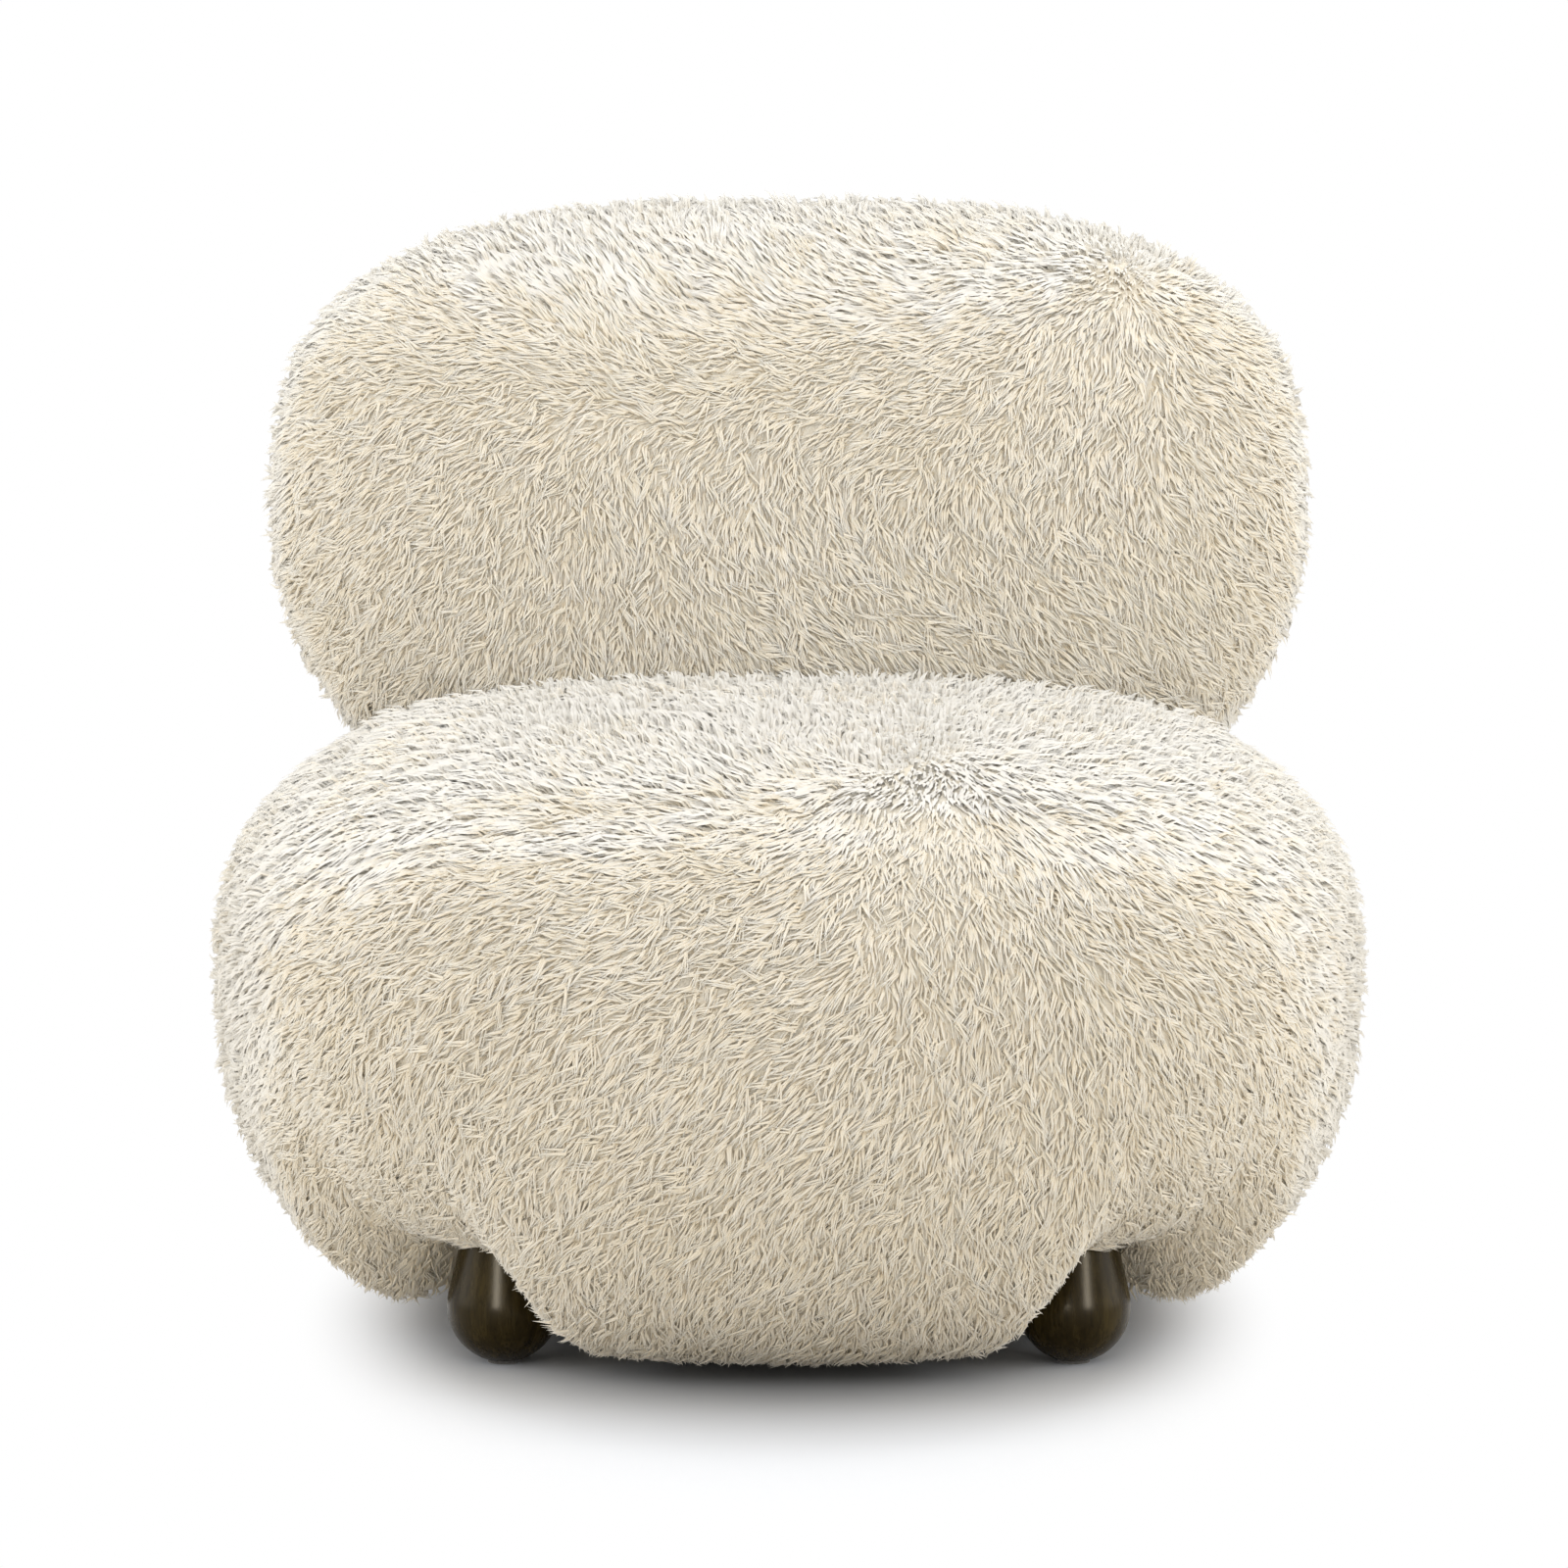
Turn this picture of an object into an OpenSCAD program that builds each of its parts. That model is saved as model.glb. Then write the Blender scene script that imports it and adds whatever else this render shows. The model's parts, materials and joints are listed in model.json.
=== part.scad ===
// Fur-covered slipper chair: round seat, bean-shaped back roll, four turned legs.
// Millimetres. Origin at the middle of the footprint, on the floor; +Z up, +X right, front toward -Y.
// Every soft form comes from seat_form() or back_form(), drawn in by a named depth below the pile.

/* [Overall] */
// Overall height to the top of the pile on the back
overall_h = 830; // [800:1:860]

/* [Seat] */
// Width of the seat over the pile
seat_w = 866; // [830:1:910]
// Height of the seat's crown
seat_h = 467; // [455:1:485]
// Reach of the seat in front of its middle
seat_front = 466; // [450:1:480]
// Reach of the seat behind its middle
seat_rear = 424; // [410:1:434]
// Height at which the seat is widest
seat_belly = 260; // [250:1:270]
// Height of the lowest point of the front and rear lobes above the floor
lobe_gap = 12; // [9:1:18]
// Height of the lowest point of the side lobes above the floor
side_lobe_gap = 42; // [34:1:48]
// How far the cover is drawn in above each leg
pinch = 10; // [6:1:12]

/* [Back] */
// Width of the back roll over the pile
back_w = 820; // [785:1:850]
// Thickness of the back roll over the pile
back_t = 326; // [310:1:345]
// How far the back roll reaches down behind the seat's crown
back_sink = 177; // [165:1:190]
// Lean of the back roll from upright, in degrees
back_lean = 8; // [6:0.5:9]
// How far the ends of the back roll come forward
back_wrap = 42; // [30:1:54]

/* [Soft layers] */
// Depth of the pile and its backing
pile = 30; // [26:1:32]
// Thickness of the wadding over the foam
wadding_t = 12; // [8:1:14]
// Thickness of the cloth under the back roll
tuck_t = 8; // [6:1:10]

/* [Legs] */
// Diameter of the ball at the foot of a leg
leg_d = 83; // [78:1:86]
// Taper of the leg above its ball, in degrees
leg_taper = 13; // [11:0.5:14]
// Height of the underside of the base board, where the legs stop
leg_top = 105; // [102:1:110]
// Distance of the leg axes in from the sides of the seat
leg_side_in = 225; // [220:1:232]
// Distance of the front leg axes in from the front of the seat
leg_front_in = 222; // [217:1:228]
// Distance of the rear leg axes in from the rear of the seat
leg_rear_in = 208; // [203:1:214]
// Thickness of the glide under a leg
glide_t = 3; // [2:0.5:4]

/* [Frame] */
// Thickness of the base board
board_t = 18; // [15:1:21]
// Distance from a leg axis to the edge of the base board
board_edge = 40; // [38:1:43]
// Height of the seat rails on the base board
rail_h = 110; // [100:1:120]
// Thickness of the rails
rail_t = 25; // [22:1:28]
// Thickness of the pad over the straps
deck_t = 20; // [16:1:24]
// Width of a webbing strap
strap_w = 50; // [45:1:55]
// Width of a back post
post_w = 60; // [54:1:66]
// Thickness of a back post
post_t = 28; // [25:1:30]
// Distance of the post axes from the middle, sideways
post_x = 130; // [120:1:140]
// Reach of the cross rails past the posts
cross_reach = 60; // [50:1:70]

/* [Hidden] */
$fn = 48;
smooth = 96;

// Clearances
soft_gap = 0.3;
bore_gap = 0.2;
slot_gap = 1.5;
leg_hole_gap = 6;
leg_well_gap = 15;
hem_lap = 6;
wadding_lift = 8;
over = 1;

// Fixings
bolt_d = 8;
bolt_in_leg = 38;
bolt_above = 4;
tee_barrel_d = 10;
tee_barrel_h = 9;
tee_flange_d = 22;
tee_flange_t = 1.6;
glide_d = 24;
foot_flat_d = 30;
head_d = 13;
head_h = 5.5;
washer_d = 20;
washer_t = 1.6;
nut_w = 13;
nut_h = 6.5;

// Seat form
seat_a = seat_w / 2;
seat_y = (seat_front - seat_rear) / 2;
leg_x = seat_a - leg_side_in;
leg_front = seat_front - leg_front_in;
leg_rear = seat_rear - leg_rear_in;
span = 2 * seat_w;
plan_power = 2.68;
crown_power = 2.9;
belly_power = 1.84;
hem_power = 2;
hem_x = leg_x;
hem_y = leg_rear;
hem_plan_power = 5;
lobe_share = 0.355;
notch_drop = 15;
notch_top = leg_top - notch_drop;
notch_roof = 2.2;
pinch_angle = 55;
flat_angle = 6;
notch_angle = 17;
hem_z = leg_top - soft_gap;
crown_v = [74, 58, 44, 31, 19, 9, 0, -13, -27, -41, -56, -72, -90, -125, -180];
lining_v = [62, 36, 16, 0, -28, -60, -90, -180];

// Frame
board_top = leg_top + board_t;
rail_top = board_top + rail_h;
board_front = seat_y - leg_front - board_edge;
board_rear = seat_y + leg_rear + board_edge;
board_x = leg_x + board_edge;
strap_t = 2;
long_count = 5;
cross_count = 6;
strap_span_x = 2 * (board_x - rail_t);
strap_span_y = board_rear - board_front - 2 * rail_t;
deck_z = rail_top + 2 * strap_t;
deck_top = deck_z + deck_t;
block_leg = 52;
block_up = 34;
block_down = 8;
dust_t = 1.5;
dust_corner_r = 84;

// Back form and frame
back_a = back_w / 2;
back_tall = overall_h - seat_h + back_sink;
back_up = back_tall * 0.46;
back_down = back_tall - back_up;
back_mid_z = overall_h - back_up;
back_up_power = 3;
back_down_power = 2.1;
back_end_power = 2.6;
back_round = 2.3;
back_stations = [0.2, 0.38, 0.54, 0.68, 0.79, 0.88, 0.945, 0.985];
lining_stations = [0.3, 0.55, 0.76, 0.9, 0.975];
back_points = 26;
post_front = board_rear;
post_lift = 12;
post_low = board_top + post_lift;
cross_t = 20;
cross_w = 2 * post_x + post_w + 2 * cross_reach;
panel_t = 6;
panel_gap = 12;
panel_low = seat_h + panel_gap;
cross_top_z = overall_h - back_up * 0.61;
cross_h = (cross_top_z - panel_low) * 0.3;
cross_low_z = panel_low + cross_h;
post_over = 6;
post_top = cross_top_z + post_over;
bolt_inset = 26;
bolt_low_z = post_low + bolt_inset;
bolt_high_z = rail_top - bolt_inset;

// Colours
c_wood = [0.16, 0.12, 0.07];
c_board = [0.72, 0.58, 0.40];
c_rail = [0.78, 0.64, 0.44];
c_steel = [0.70, 0.70, 0.70];
c_felt = [0.25, 0.24, 0.22];
c_strap = [0.55, 0.50, 0.38];
c_foam = [0.93, 0.88, 0.66];
c_wadding = [0.95, 0.95, 0.93];
c_fur = [0.90, 0.86, 0.78];
c_cloth = [0.08, 0.08, 0.08];

// Curves for the soft forms
function spow(v, e) = sign(v) * pow(abs(v), e);
function ramp(t) = let (s = min(1, max(0, t))) s * s * (3 - 2 * s);
function rim(u, a, b, p) = pow(pow(abs(cos(u)) / a, p) + pow(abs(sin(u)) / b, p), -1 / p);
function turn(d) = let (m = (d % 360 + 360) % 360) m > 180 ? m - 360 : m;

front_angle = atan2(leg_front, leg_x);
rear_angle = atan2(leg_rear, leg_x);
leg_angles = [rear_angle, 180 - rear_angle, 180 + front_angle, 360 - front_angle];
around = [
    -notch_angle, -notch_angle * 0.68, -flat_angle, 0, flat_angle, notch_angle * 0.68, notch_angle];
function quarter(a) = concat(
    [0, (a - notch_angle) / 3, (a - notch_angle) * 2 / 3],
    [for (d = around) a + d],
    [a + notch_angle + (90 - a - notch_angle) / 3, a + notch_angle + (90 - a - notch_angle) * 2 / 3]);
function flip(q, m) = [for (i = [len(q) - 1:-1:0]) m - q[i]];
rear_q = quarter(rear_angle);
front_q = quarter(front_angle);
seat_lons = concat(
    rear_q, [90], flip(rear_q, 180),
    [for (i = [1:len(front_q) - 1]) 180 + front_q[i]],
    [270], flip([for (i = [1:len(front_q) - 1]) front_q[i]], 360));

function notch(u) = max([for (a = leg_angles)
    ramp((notch_angle - abs(turn(u - a))) / (notch_angle - flat_angle))]);

// One point of the seat's form, d below the pile; v goes 90 at the crown, 0 at the belly,
// -90 at the bottom of a lobe and -180 at the hem under the base board
function seat_point(u, v, d) =
    let (
        back_side = sin(u) >= 0,
        drawn = pinch * notch(u),
        full = rim(u, seat_a - d, (back_side ? seat_rear : seat_front) - d, plan_power),
        outer = full - drawn * ramp(-v / pinch_angle),
        hem = rim(u, hem_x + d, hem_y + d, hem_plan_power),
        low_r = hem + lobe_share * (full - drawn - hem),
        side = pow(abs(cos(u)), 2),
        lobe = lobe_gap + (side_lobe_gap - lobe_gap) * side,
        low = min(hem_z - notch_roof, lobe + notch(u) * (notch_top - lobe) + d),
        c = abs(cos(v)),
        s = abs(sin(v)),
        r = v >= 0 ? outer * pow(c, 2 / crown_power)
            : v >= -90 ? low_r + (outer - low_r) * pow(c, 2 / belly_power)
            : low_r - (low_r - hem) * pow(c, 2 / hem_power),
        z = v >= 0 ? seat_belly + (seat_h - d - seat_belly) * pow(s, 2 / crown_power)
            : v >= -90 ? seat_belly - (seat_belly - low) * pow(s, 2 / belly_power)
            : hem_z - (hem_z - low) * pow(s, 2 / hem_power))
    [r * cos(u), seat_y + r * sin(u), z];

// Faces of a skin of rows, each n points round, the first row next to the pole point
function strips(first, rows, n) = [for (i = [0:rows - 2]) for (j = [0:n - 1])
    let (a = first + i * n + j, b = first + i * n + (j + 1) % n) each [[a, b, b + n], [a, b + n, a + n]]];
function fan(pole, first, n) = [for (j = [0:n - 1]) [pole, first + (j + 1) % n, first + j]];
function turned(faces) = [for (f = faces) [f[0], f[2], f[1]]];

// A closed body inside the seat's form, d below the pile
module seat_form(d, vs) {
    n = len(seat_lons);
    rows = len(vs);
    pts = concat(
        [[0, seat_y, seat_h - d]],
        [for (v = vs) for (u = seat_lons) seat_point(u, v, d)],
        [[0, seat_y, hem_z]]);
    polyhedron(pts, concat(
        fan(0, 1, n), strips(1, rows, n), turned(fan(len(pts) - 1, 1 + (rows - 1) * n, n))));
}

// The cover: the form's skin, its lining the pile's depth below, joined at the hem
module seat_skin(d) {
    n = len(seat_lons);
    ro = len(crown_v);
    ri = len(lining_v);
    first = 1 + ro * n;
    pts = concat(
        [[0, seat_y, seat_h]],
        [for (v = crown_v) for (u = seat_lons) seat_point(u, v, 0)],
        [[0, seat_y, seat_h - d]],
        [for (v = lining_v) for (u = seat_lons) seat_point(u, v, d)]);
    hem_out = 1 + (ro - 1) * n;
    hem_in = first + 1 + (ri - 1) * n;
    polyhedron(pts, concat(
        fan(0, 1, n), strips(1, ro, n),
        turned(fan(first, first + 1, n)), turned(strips(first + 1, ri, n)),
        [for (j = [0:n - 1]) let (k = (j + 1) % n) each [
            [hem_out + j, hem_out + k, hem_in + k], [hem_out + j, hem_in + k, hem_in + j]]]));
}

// One point of the back's form: s along its width, -1 to 1, and a round its section
function back_shape(s, a, d) =
    let (
        w = back_a - d,
        m = abs(s),
        up = (back_up - d) * pow(1 - pow(m, back_up_power), 1 / back_up_power),
        down = (back_down - d) * pow(1 - pow(m, back_down_power), 1 / back_down_power),
        t = (back_t / 2 - d) * pow(1 - pow(m, back_end_power), 1 / back_end_power),
        h = (cos(a) >= 0 ? up : down) * spow(cos(a), 2 / back_round),
        y = t * spow(sin(a), 2 / back_round) - back_wrap * s * s)
    [w * s, y + h * tan(back_lean), back_mid_z + h];

// The back's rearmost point is level with the seat's
function section(j) = j * 360 / back_points;
back_y = seat_y + seat_rear - max([for (s = concat([0], back_stations)) for (j = [0:back_points - 1])
    back_shape(s, section(j), 0)[1]]);
function back_point(s, a, d) = back_shape(s, a, d) + [0, back_y, 0];

module back_form(d, stations) {
    st = concat([for (i = [len(stations) - 1:-1:0]) -stations[i]], [0], stations);
    n = back_points;
    pts = concat(
        [back_point(-1, 0, d)],
        [for (s = st) for (j = [0:n - 1]) back_point(s, section(j), d)],
        [back_point(1, 0, d)]);
    polyhedron(pts, concat(
        fan(0, 1, n), strips(1, len(st), n), turned(fan(len(pts) - 1, 1 + (len(st) - 1) * n, n))));
}

// Parts repeated at the legs and posts
module at_legs() {
    for (s = [-1, 1]) {
        translate([s * leg_x, seat_y - leg_front, 0]) children();
        translate([s * leg_x, seat_y + leg_rear, 0]) children();
    }
}

module slab(x0, x1, y0, y1, z0, z1) {
    translate([x0, y0, z0]) cube([x1 - x0, y1 - y0, z1 - z0]);
}

// Legs
ball_r = leg_d / 2;
ball_z = glide_t + sqrt(ball_r * ball_r - foot_flat_d * foot_flat_d / 4);
neck_z = ball_z + ball_r * sin(leg_taper);
neck_r = ball_r * cos(leg_taper);
leg_top_r = neck_r - (leg_top - neck_z) * tan(leg_taper);

module leg() {
    difference() {
        union() {
            translate([0, 0, ball_z]) sphere(r = ball_r, $fn = smooth);
            translate([0, 0, neck_z])
                cylinder(h = leg_top - neck_z, r1 = neck_r, r2 = leg_top_r, $fn = smooth);
        }
        translate([0, 0, glide_t - ball_r]) cylinder(h = ball_r, r = leg_d);
        translate([0, 0, leg_top - bolt_in_leg]) cylinder(h = bolt_in_leg + over, d = bolt_d + bore_gap);
    }
}

module leg_front_left() {
    color(c_wood) translate([-leg_x, seat_y - leg_front, 0]) leg();
}

module leg_front_right() {
    color(c_wood) translate([leg_x, seat_y - leg_front, 0]) leg();
}

module leg_rear_left() {
    color(c_wood) translate([-leg_x, seat_y + leg_rear, 0]) leg();
}

module leg_rear_right() {
    color(c_wood) translate([leg_x, seat_y + leg_rear, 0]) leg();
}

module leg_bolts() {
    color(c_steel) at_legs() translate([0, 0, leg_top - bolt_in_leg])
        cylinder(h = bolt_in_leg + board_t + tee_flange_t + bolt_above, d = bolt_d);
}

module leg_tee_nuts() {
    color(c_steel) at_legs() difference() {
        union() {
            translate([0, 0, board_top - tee_barrel_h]) cylinder(h = tee_barrel_h, d = tee_barrel_d);
            translate([0, 0, board_top]) cylinder(h = tee_flange_t, d = tee_flange_d);
        }
        translate([0, 0, board_top - tee_barrel_h - over])
            cylinder(h = tee_barrel_h + tee_flange_t + 2 * over, d = bolt_d + bore_gap);
    }
}

module leg_glides() {
    color(c_felt) at_legs() cylinder(h = glide_t, d = glide_d);
}

// Seat frame
module board_plan(x, y0, y1, r, z0, z1) {
    slab(-x + r, x - r, y0, y1, z0, z1);
    slab(-x, x, y0 + r, y1 - r, z0, z1);
    for (s = [-1, 1]) for (y = [y0 + r, y1 - r])
        translate([s * (x - r), y, z0]) cylinder(h = z1 - z0, r = r);
}

module base_board() {
    color(c_board) difference() {
        board_plan(board_x, board_front, board_rear, board_edge, leg_top, board_top);
        at_legs() translate([0, 0, leg_top - over])
            cylinder(h = board_t + 2 * over, d = tee_barrel_d + bore_gap);
    }
}

rail_in_x = board_x - rail_t;
rail_in_front = board_front + rail_t;
rail_in_rear = board_rear - rail_t;
rail_end = board_x - board_edge * 0.5;

module front_rail() {
    color(c_rail) slab(-rail_end, rail_end, board_front, rail_in_front, board_top, rail_top);
}

module rear_rail() {
    color(c_rail) difference() {
        slab(-rail_end, rail_end, rail_in_rear, board_rear, board_top, rail_top);
        post_bolt_holes(rail_in_rear - over, rail_t + 2 * over);
    }
}

module side_rail(s) {
    color(c_rail) slab(min(s * rail_in_x, s * board_x), max(s * rail_in_x, s * board_x),
        rail_in_front, rail_in_rear, board_top, rail_top);
}

module left_rail() {
    side_rail(-1);
}

module right_rail() {
    side_rail(1);
}

module corner_blocks() {
    color(c_rail) for (sx = [-1, 1]) for (e = [[rail_in_front, 1], [rail_in_rear, -1]])
        translate([0, 0, board_top + block_up]) linear_extrude(rail_h - block_up - block_down)
            polygon([
                [sx * rail_in_x, e[0]], [sx * (rail_in_x - block_leg), e[0]],
                [sx * rail_in_x, e[0] + e[1] * block_leg]]);
}

module long_straps() {
    pitch = strap_span_x / long_count;
    color(c_strap) for (i = [0:long_count - 1])
        let (x = -strap_span_x / 2 + pitch * (i + 0.5))
        slab(x - strap_w / 2, x + strap_w / 2, board_front, board_rear, rail_top, rail_top + strap_t);
}

module cross_straps() {
    pitch = strap_span_y / cross_count;
    color(c_strap) for (i = [0:cross_count - 1])
        let (y = rail_in_front + pitch * (i + 0.5))
        slab(-board_x, board_x, y - strap_w / 2, y + strap_w / 2, rail_top + strap_t, deck_z);
}

module deck_pad() {
    color(c_foam) slab(-board_x, board_x, board_front, board_rear, deck_z, deck_top);
}

// Room for the frame inside the seat's foam
module frame_room(g) {
    slab(-board_x - g, board_x + g, board_front - g, board_rear + g, leg_top - over, deck_top + g);
}

module post_slots(g) {
    for (s = [-1, 1])
        slab(s * post_x - post_w / 2 - g, s * post_x + post_w / 2 + g,
            post_front - g, post_front + post_t + g, post_low - g, post_top + g);
}

module bolt_room(g) {
    for (s = [-1, 1])
        slab(s * post_x - washer_d / 2 - g, s * post_x + washer_d / 2 + g,
            post_front, post_front + post_t + washer_t + head_h + g,
            bolt_low_z - washer_d / 2 - g, bolt_high_z + washer_d / 2 + g);
}

// Seat padding and cover
module seat_foam() {
    color(c_foam) difference() {
        seat_form(pile + wadding_t + soft_gap, lining_v);
        frame_room(soft_gap);
        post_slots(slot_gap);
        bolt_room(slot_gap);
        at_legs() cylinder(h = leg_top, r = ball_r + leg_well_gap, $fn = 24);
    }
}

module seat_wadding() {
    color(c_wadding) difference() {
        seat_form(pile + soft_gap, lining_v);
        seat_form(pile + wadding_t, lining_v);
        slab(-span, span, -span, span, -over, leg_top + wadding_lift);
        post_slots(slot_gap);
    }
}

module seat_cover() {
    color(c_fur) difference() {
        seat_skin(pile);
        at_legs() cylinder(h = leg_top + over, r = leg_top_r + leg_hole_gap, $fn = 24);
        post_slots(slot_gap);
    }
}

module dust_cover() {
    color(c_cloth) board_plan(hem_x - hem_lap, seat_y - hem_y + hem_lap, seat_y + hem_y - hem_lap,
        dust_corner_r, leg_top - dust_t, leg_top);
}

// Back frame
module post_bolt_holes(y, l) {
    for (s = [-1, 1]) for (z = [bolt_low_z, bolt_high_z])
        translate([s * post_x, y, z]) rotate([-90, 0, 0]) cylinder(h = l, d = bolt_d + bore_gap);
}

module back_post(s) {
    color(c_rail) difference() {
        slab(s * post_x - post_w / 2, s * post_x + post_w / 2,
            post_front, post_front + post_t, post_low, post_top);
        post_bolt_holes(post_front - over, post_t + 2 * over);
    }
}

module back_post_left() {
    back_post(-1);
}

module back_post_right() {
    back_post(1);
}

module at_bolts(y) {
    for (s = [-1, 1]) for (z = [bolt_low_z, bolt_high_z])
        translate([s * post_x, y, z]) rotate([-90, 0, 0]) children();
}

module back_bolts() {
    span = post_t + rail_t + 2 * washer_t + nut_h;
    color(c_steel) at_bolts(rail_in_rear - washer_t - nut_h) {
        cylinder(h = span, d = bolt_d);
        translate([0, 0, span]) cylinder(h = head_h, d = head_d, $fn = 6);
    }
}

module ring(d, h) {
    difference() {
        cylinder(h = h, d = d);
        translate([0, 0, -over]) cylinder(h = h + 2 * over, d = bolt_d + bore_gap);
    }
}

module back_washers() {
    color(c_steel) {
        at_bolts(post_front + post_t) ring(washer_d, washer_t);
        at_bolts(rail_in_rear - washer_t) ring(washer_d, washer_t);
    }
}

module back_nuts() {
    color(c_steel) at_bolts(rail_in_rear - washer_t - nut_h) difference() {
        cylinder(h = nut_h, d = nut_w / cos(30), $fn = 6);
        translate([0, 0, -over]) cylinder(h = nut_h + 2 * over, d = bolt_d + bore_gap);
    }
}

module back_top_rail() {
    color(c_rail) slab(-cross_w / 2, cross_w / 2, post_front - cross_t, post_front,
        cross_top_z - cross_h, cross_top_z);
}

module back_bottom_rail() {
    color(c_rail) slab(-cross_w / 2, cross_w / 2, post_front - cross_t, post_front,
        cross_low_z - cross_h, cross_low_z);
}

module back_panel() {
    color(c_board) slab(-cross_w / 2, cross_w / 2, post_front - cross_t - panel_t, post_front - cross_t,
        panel_low, cross_top_z);
}

module back_room(g) {
    slab(-cross_w / 2 - g, cross_w / 2 + g, post_front - cross_t - panel_t - g, post_front + g,
        panel_low - g, cross_top_z + g);
    post_slots(slot_gap);
}

// Back padding and cover
module back_foam() {
    color(c_foam) difference() {
        back_form(pile + wadding_t + soft_gap, lining_stations);
        seat_form(-tuck_t - wadding_t - 3 * soft_gap, lining_v);
        back_room(soft_gap);
    }
}

module back_wadding() {
    color(c_wadding) difference() {
        back_form(pile + soft_gap, lining_stations);
        back_form(pile + wadding_t, lining_stations);
        seat_form(-tuck_t - 2 * soft_gap, lining_v);
    }
}

module back_cover() {
    color(c_fur) difference() {
        back_form(0, back_stations);
        seat_form(-soft_gap, crown_v);
        difference() {
            back_form(pile, lining_stations);
            seat_form(-soft_gap - tuck_t, lining_v);
        }
        post_slots(slot_gap);
    }
}

leg_front_left();
leg_front_right();
leg_rear_left();
leg_rear_right();
leg_bolts();
leg_tee_nuts();
leg_glides();
base_board();
front_rail();
rear_rail();
left_rail();
right_rail();
corner_blocks();
long_straps();
cross_straps();
deck_pad();
seat_foam();
seat_wadding();
seat_cover();
dust_cover();
back_post_left();
back_post_right();
back_bolts();
back_washers();
back_nuts();
back_top_rail();
back_bottom_rail();
back_panel();
back_foam();
back_wadding();
back_cover();
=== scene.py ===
"""Fur-covered slipper chair, dressed over its CAD frame.

A wide round seat and a bean-shaped back roll wear a long combed pile on a
sewn backing. Four turned legs stand under the base board.
"""

import json
import logging
import math
from collections.abc import Callable, Sequence
from dataclasses import dataclass
from enum import Enum
from functools import partial

import bpy
import numpy as np
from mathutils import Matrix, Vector, kdtree

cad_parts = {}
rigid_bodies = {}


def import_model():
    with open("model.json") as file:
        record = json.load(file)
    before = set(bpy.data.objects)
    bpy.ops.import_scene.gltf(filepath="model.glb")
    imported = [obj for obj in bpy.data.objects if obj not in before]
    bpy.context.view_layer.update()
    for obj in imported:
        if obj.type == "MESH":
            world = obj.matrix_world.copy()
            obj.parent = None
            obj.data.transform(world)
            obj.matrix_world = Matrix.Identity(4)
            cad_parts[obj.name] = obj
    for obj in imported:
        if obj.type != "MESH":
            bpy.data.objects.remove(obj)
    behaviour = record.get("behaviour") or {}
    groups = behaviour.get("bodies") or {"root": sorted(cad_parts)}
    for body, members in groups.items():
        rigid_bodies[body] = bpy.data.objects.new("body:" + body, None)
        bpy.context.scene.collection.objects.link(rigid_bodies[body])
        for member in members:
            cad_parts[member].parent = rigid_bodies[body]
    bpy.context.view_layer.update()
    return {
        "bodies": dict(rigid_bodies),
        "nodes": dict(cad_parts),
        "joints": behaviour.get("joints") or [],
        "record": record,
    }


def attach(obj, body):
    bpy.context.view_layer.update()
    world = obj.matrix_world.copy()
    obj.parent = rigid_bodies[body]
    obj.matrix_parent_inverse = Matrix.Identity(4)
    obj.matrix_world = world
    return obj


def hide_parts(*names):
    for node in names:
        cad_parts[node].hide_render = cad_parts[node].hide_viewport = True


log = logging.getLogger("slipper_chair")

BODY = "root"
PILE_MAP = "OFBake"
TONE_COLUMNS = 96
RIPPLE_WAVES = 9
TINY = 1e-6
WHITE = (1.0, 1.0, 1.0)
EVEN = (1.0, 1.0, 1.0)

Piece = bpy.types.Object
Material = bpy.types.Material
Socket = bpy.types.NodeSocket
Pair = tuple[float, float]
Place = tuple[float, float, float]
Colour = tuple[float, float, float]
Skin = tuple[np.ndarray, list[list[int]]]
SkinMaker = Callable[[float], Skin]


class Glow(Enum):
    """What a lamp does."""

    LIGHT = "lights the chair"
    SHINE = "shows in reflections alone"
    FILL = "lights the chair and shows in no reflection"


class Slot(Enum):
    """The record's material slots for the fur, the leg wood and the dust cloth."""

    FUR = "fur"
    LEG_WOOD = "leg_wood"
    DUST_CLOTH = "dust_cloth"


class Reach(Enum):
    """How much a run of pile shows, as its number among PileCut's densities."""

    SHOWN = 0
    TURNED = 1
    UNDER = 2


# Plain helpers for meshes and nodes


def ramp(t: np.ndarray) -> np.ndarray:
    """A smooth step from 0 to 1 as t goes from 0 to 1."""
    s = np.clip(t, 0.0, 1.0)
    return s * s * (3.0 - 2.0 * s)


def unit(v: np.ndarray) -> np.ndarray:
    """Vectors along the last axis at length 1."""
    return v / np.maximum(np.linalg.norm(v, axis=-1, keepdims=True), 1e-9)


def dot(a: np.ndarray, b: np.ndarray) -> np.ndarray:
    """Dot products along the last axis, which is kept."""
    return np.sum(a * b, axis=-1, keepdims=True)


def rim(turn: np.ndarray, half_x: float | np.ndarray, half_y: float | np.ndarray, power: float) -> np.ndarray:
    """How far a rounded-rectangle outline is from its middle.

    Args:
        turn: Directions in radians.
        half_x: Half the outline's width.
        half_y: Half the outline's depth.
        power: 2 is an ellipse, and more is squarer.

    Returns:
        One distance for each direction.
    """
    across = np.abs(np.cos(turn)) / half_x
    along = np.abs(np.sin(turn)) / half_y
    return (across**power + along**power) ** (-1.0 / power)


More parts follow.
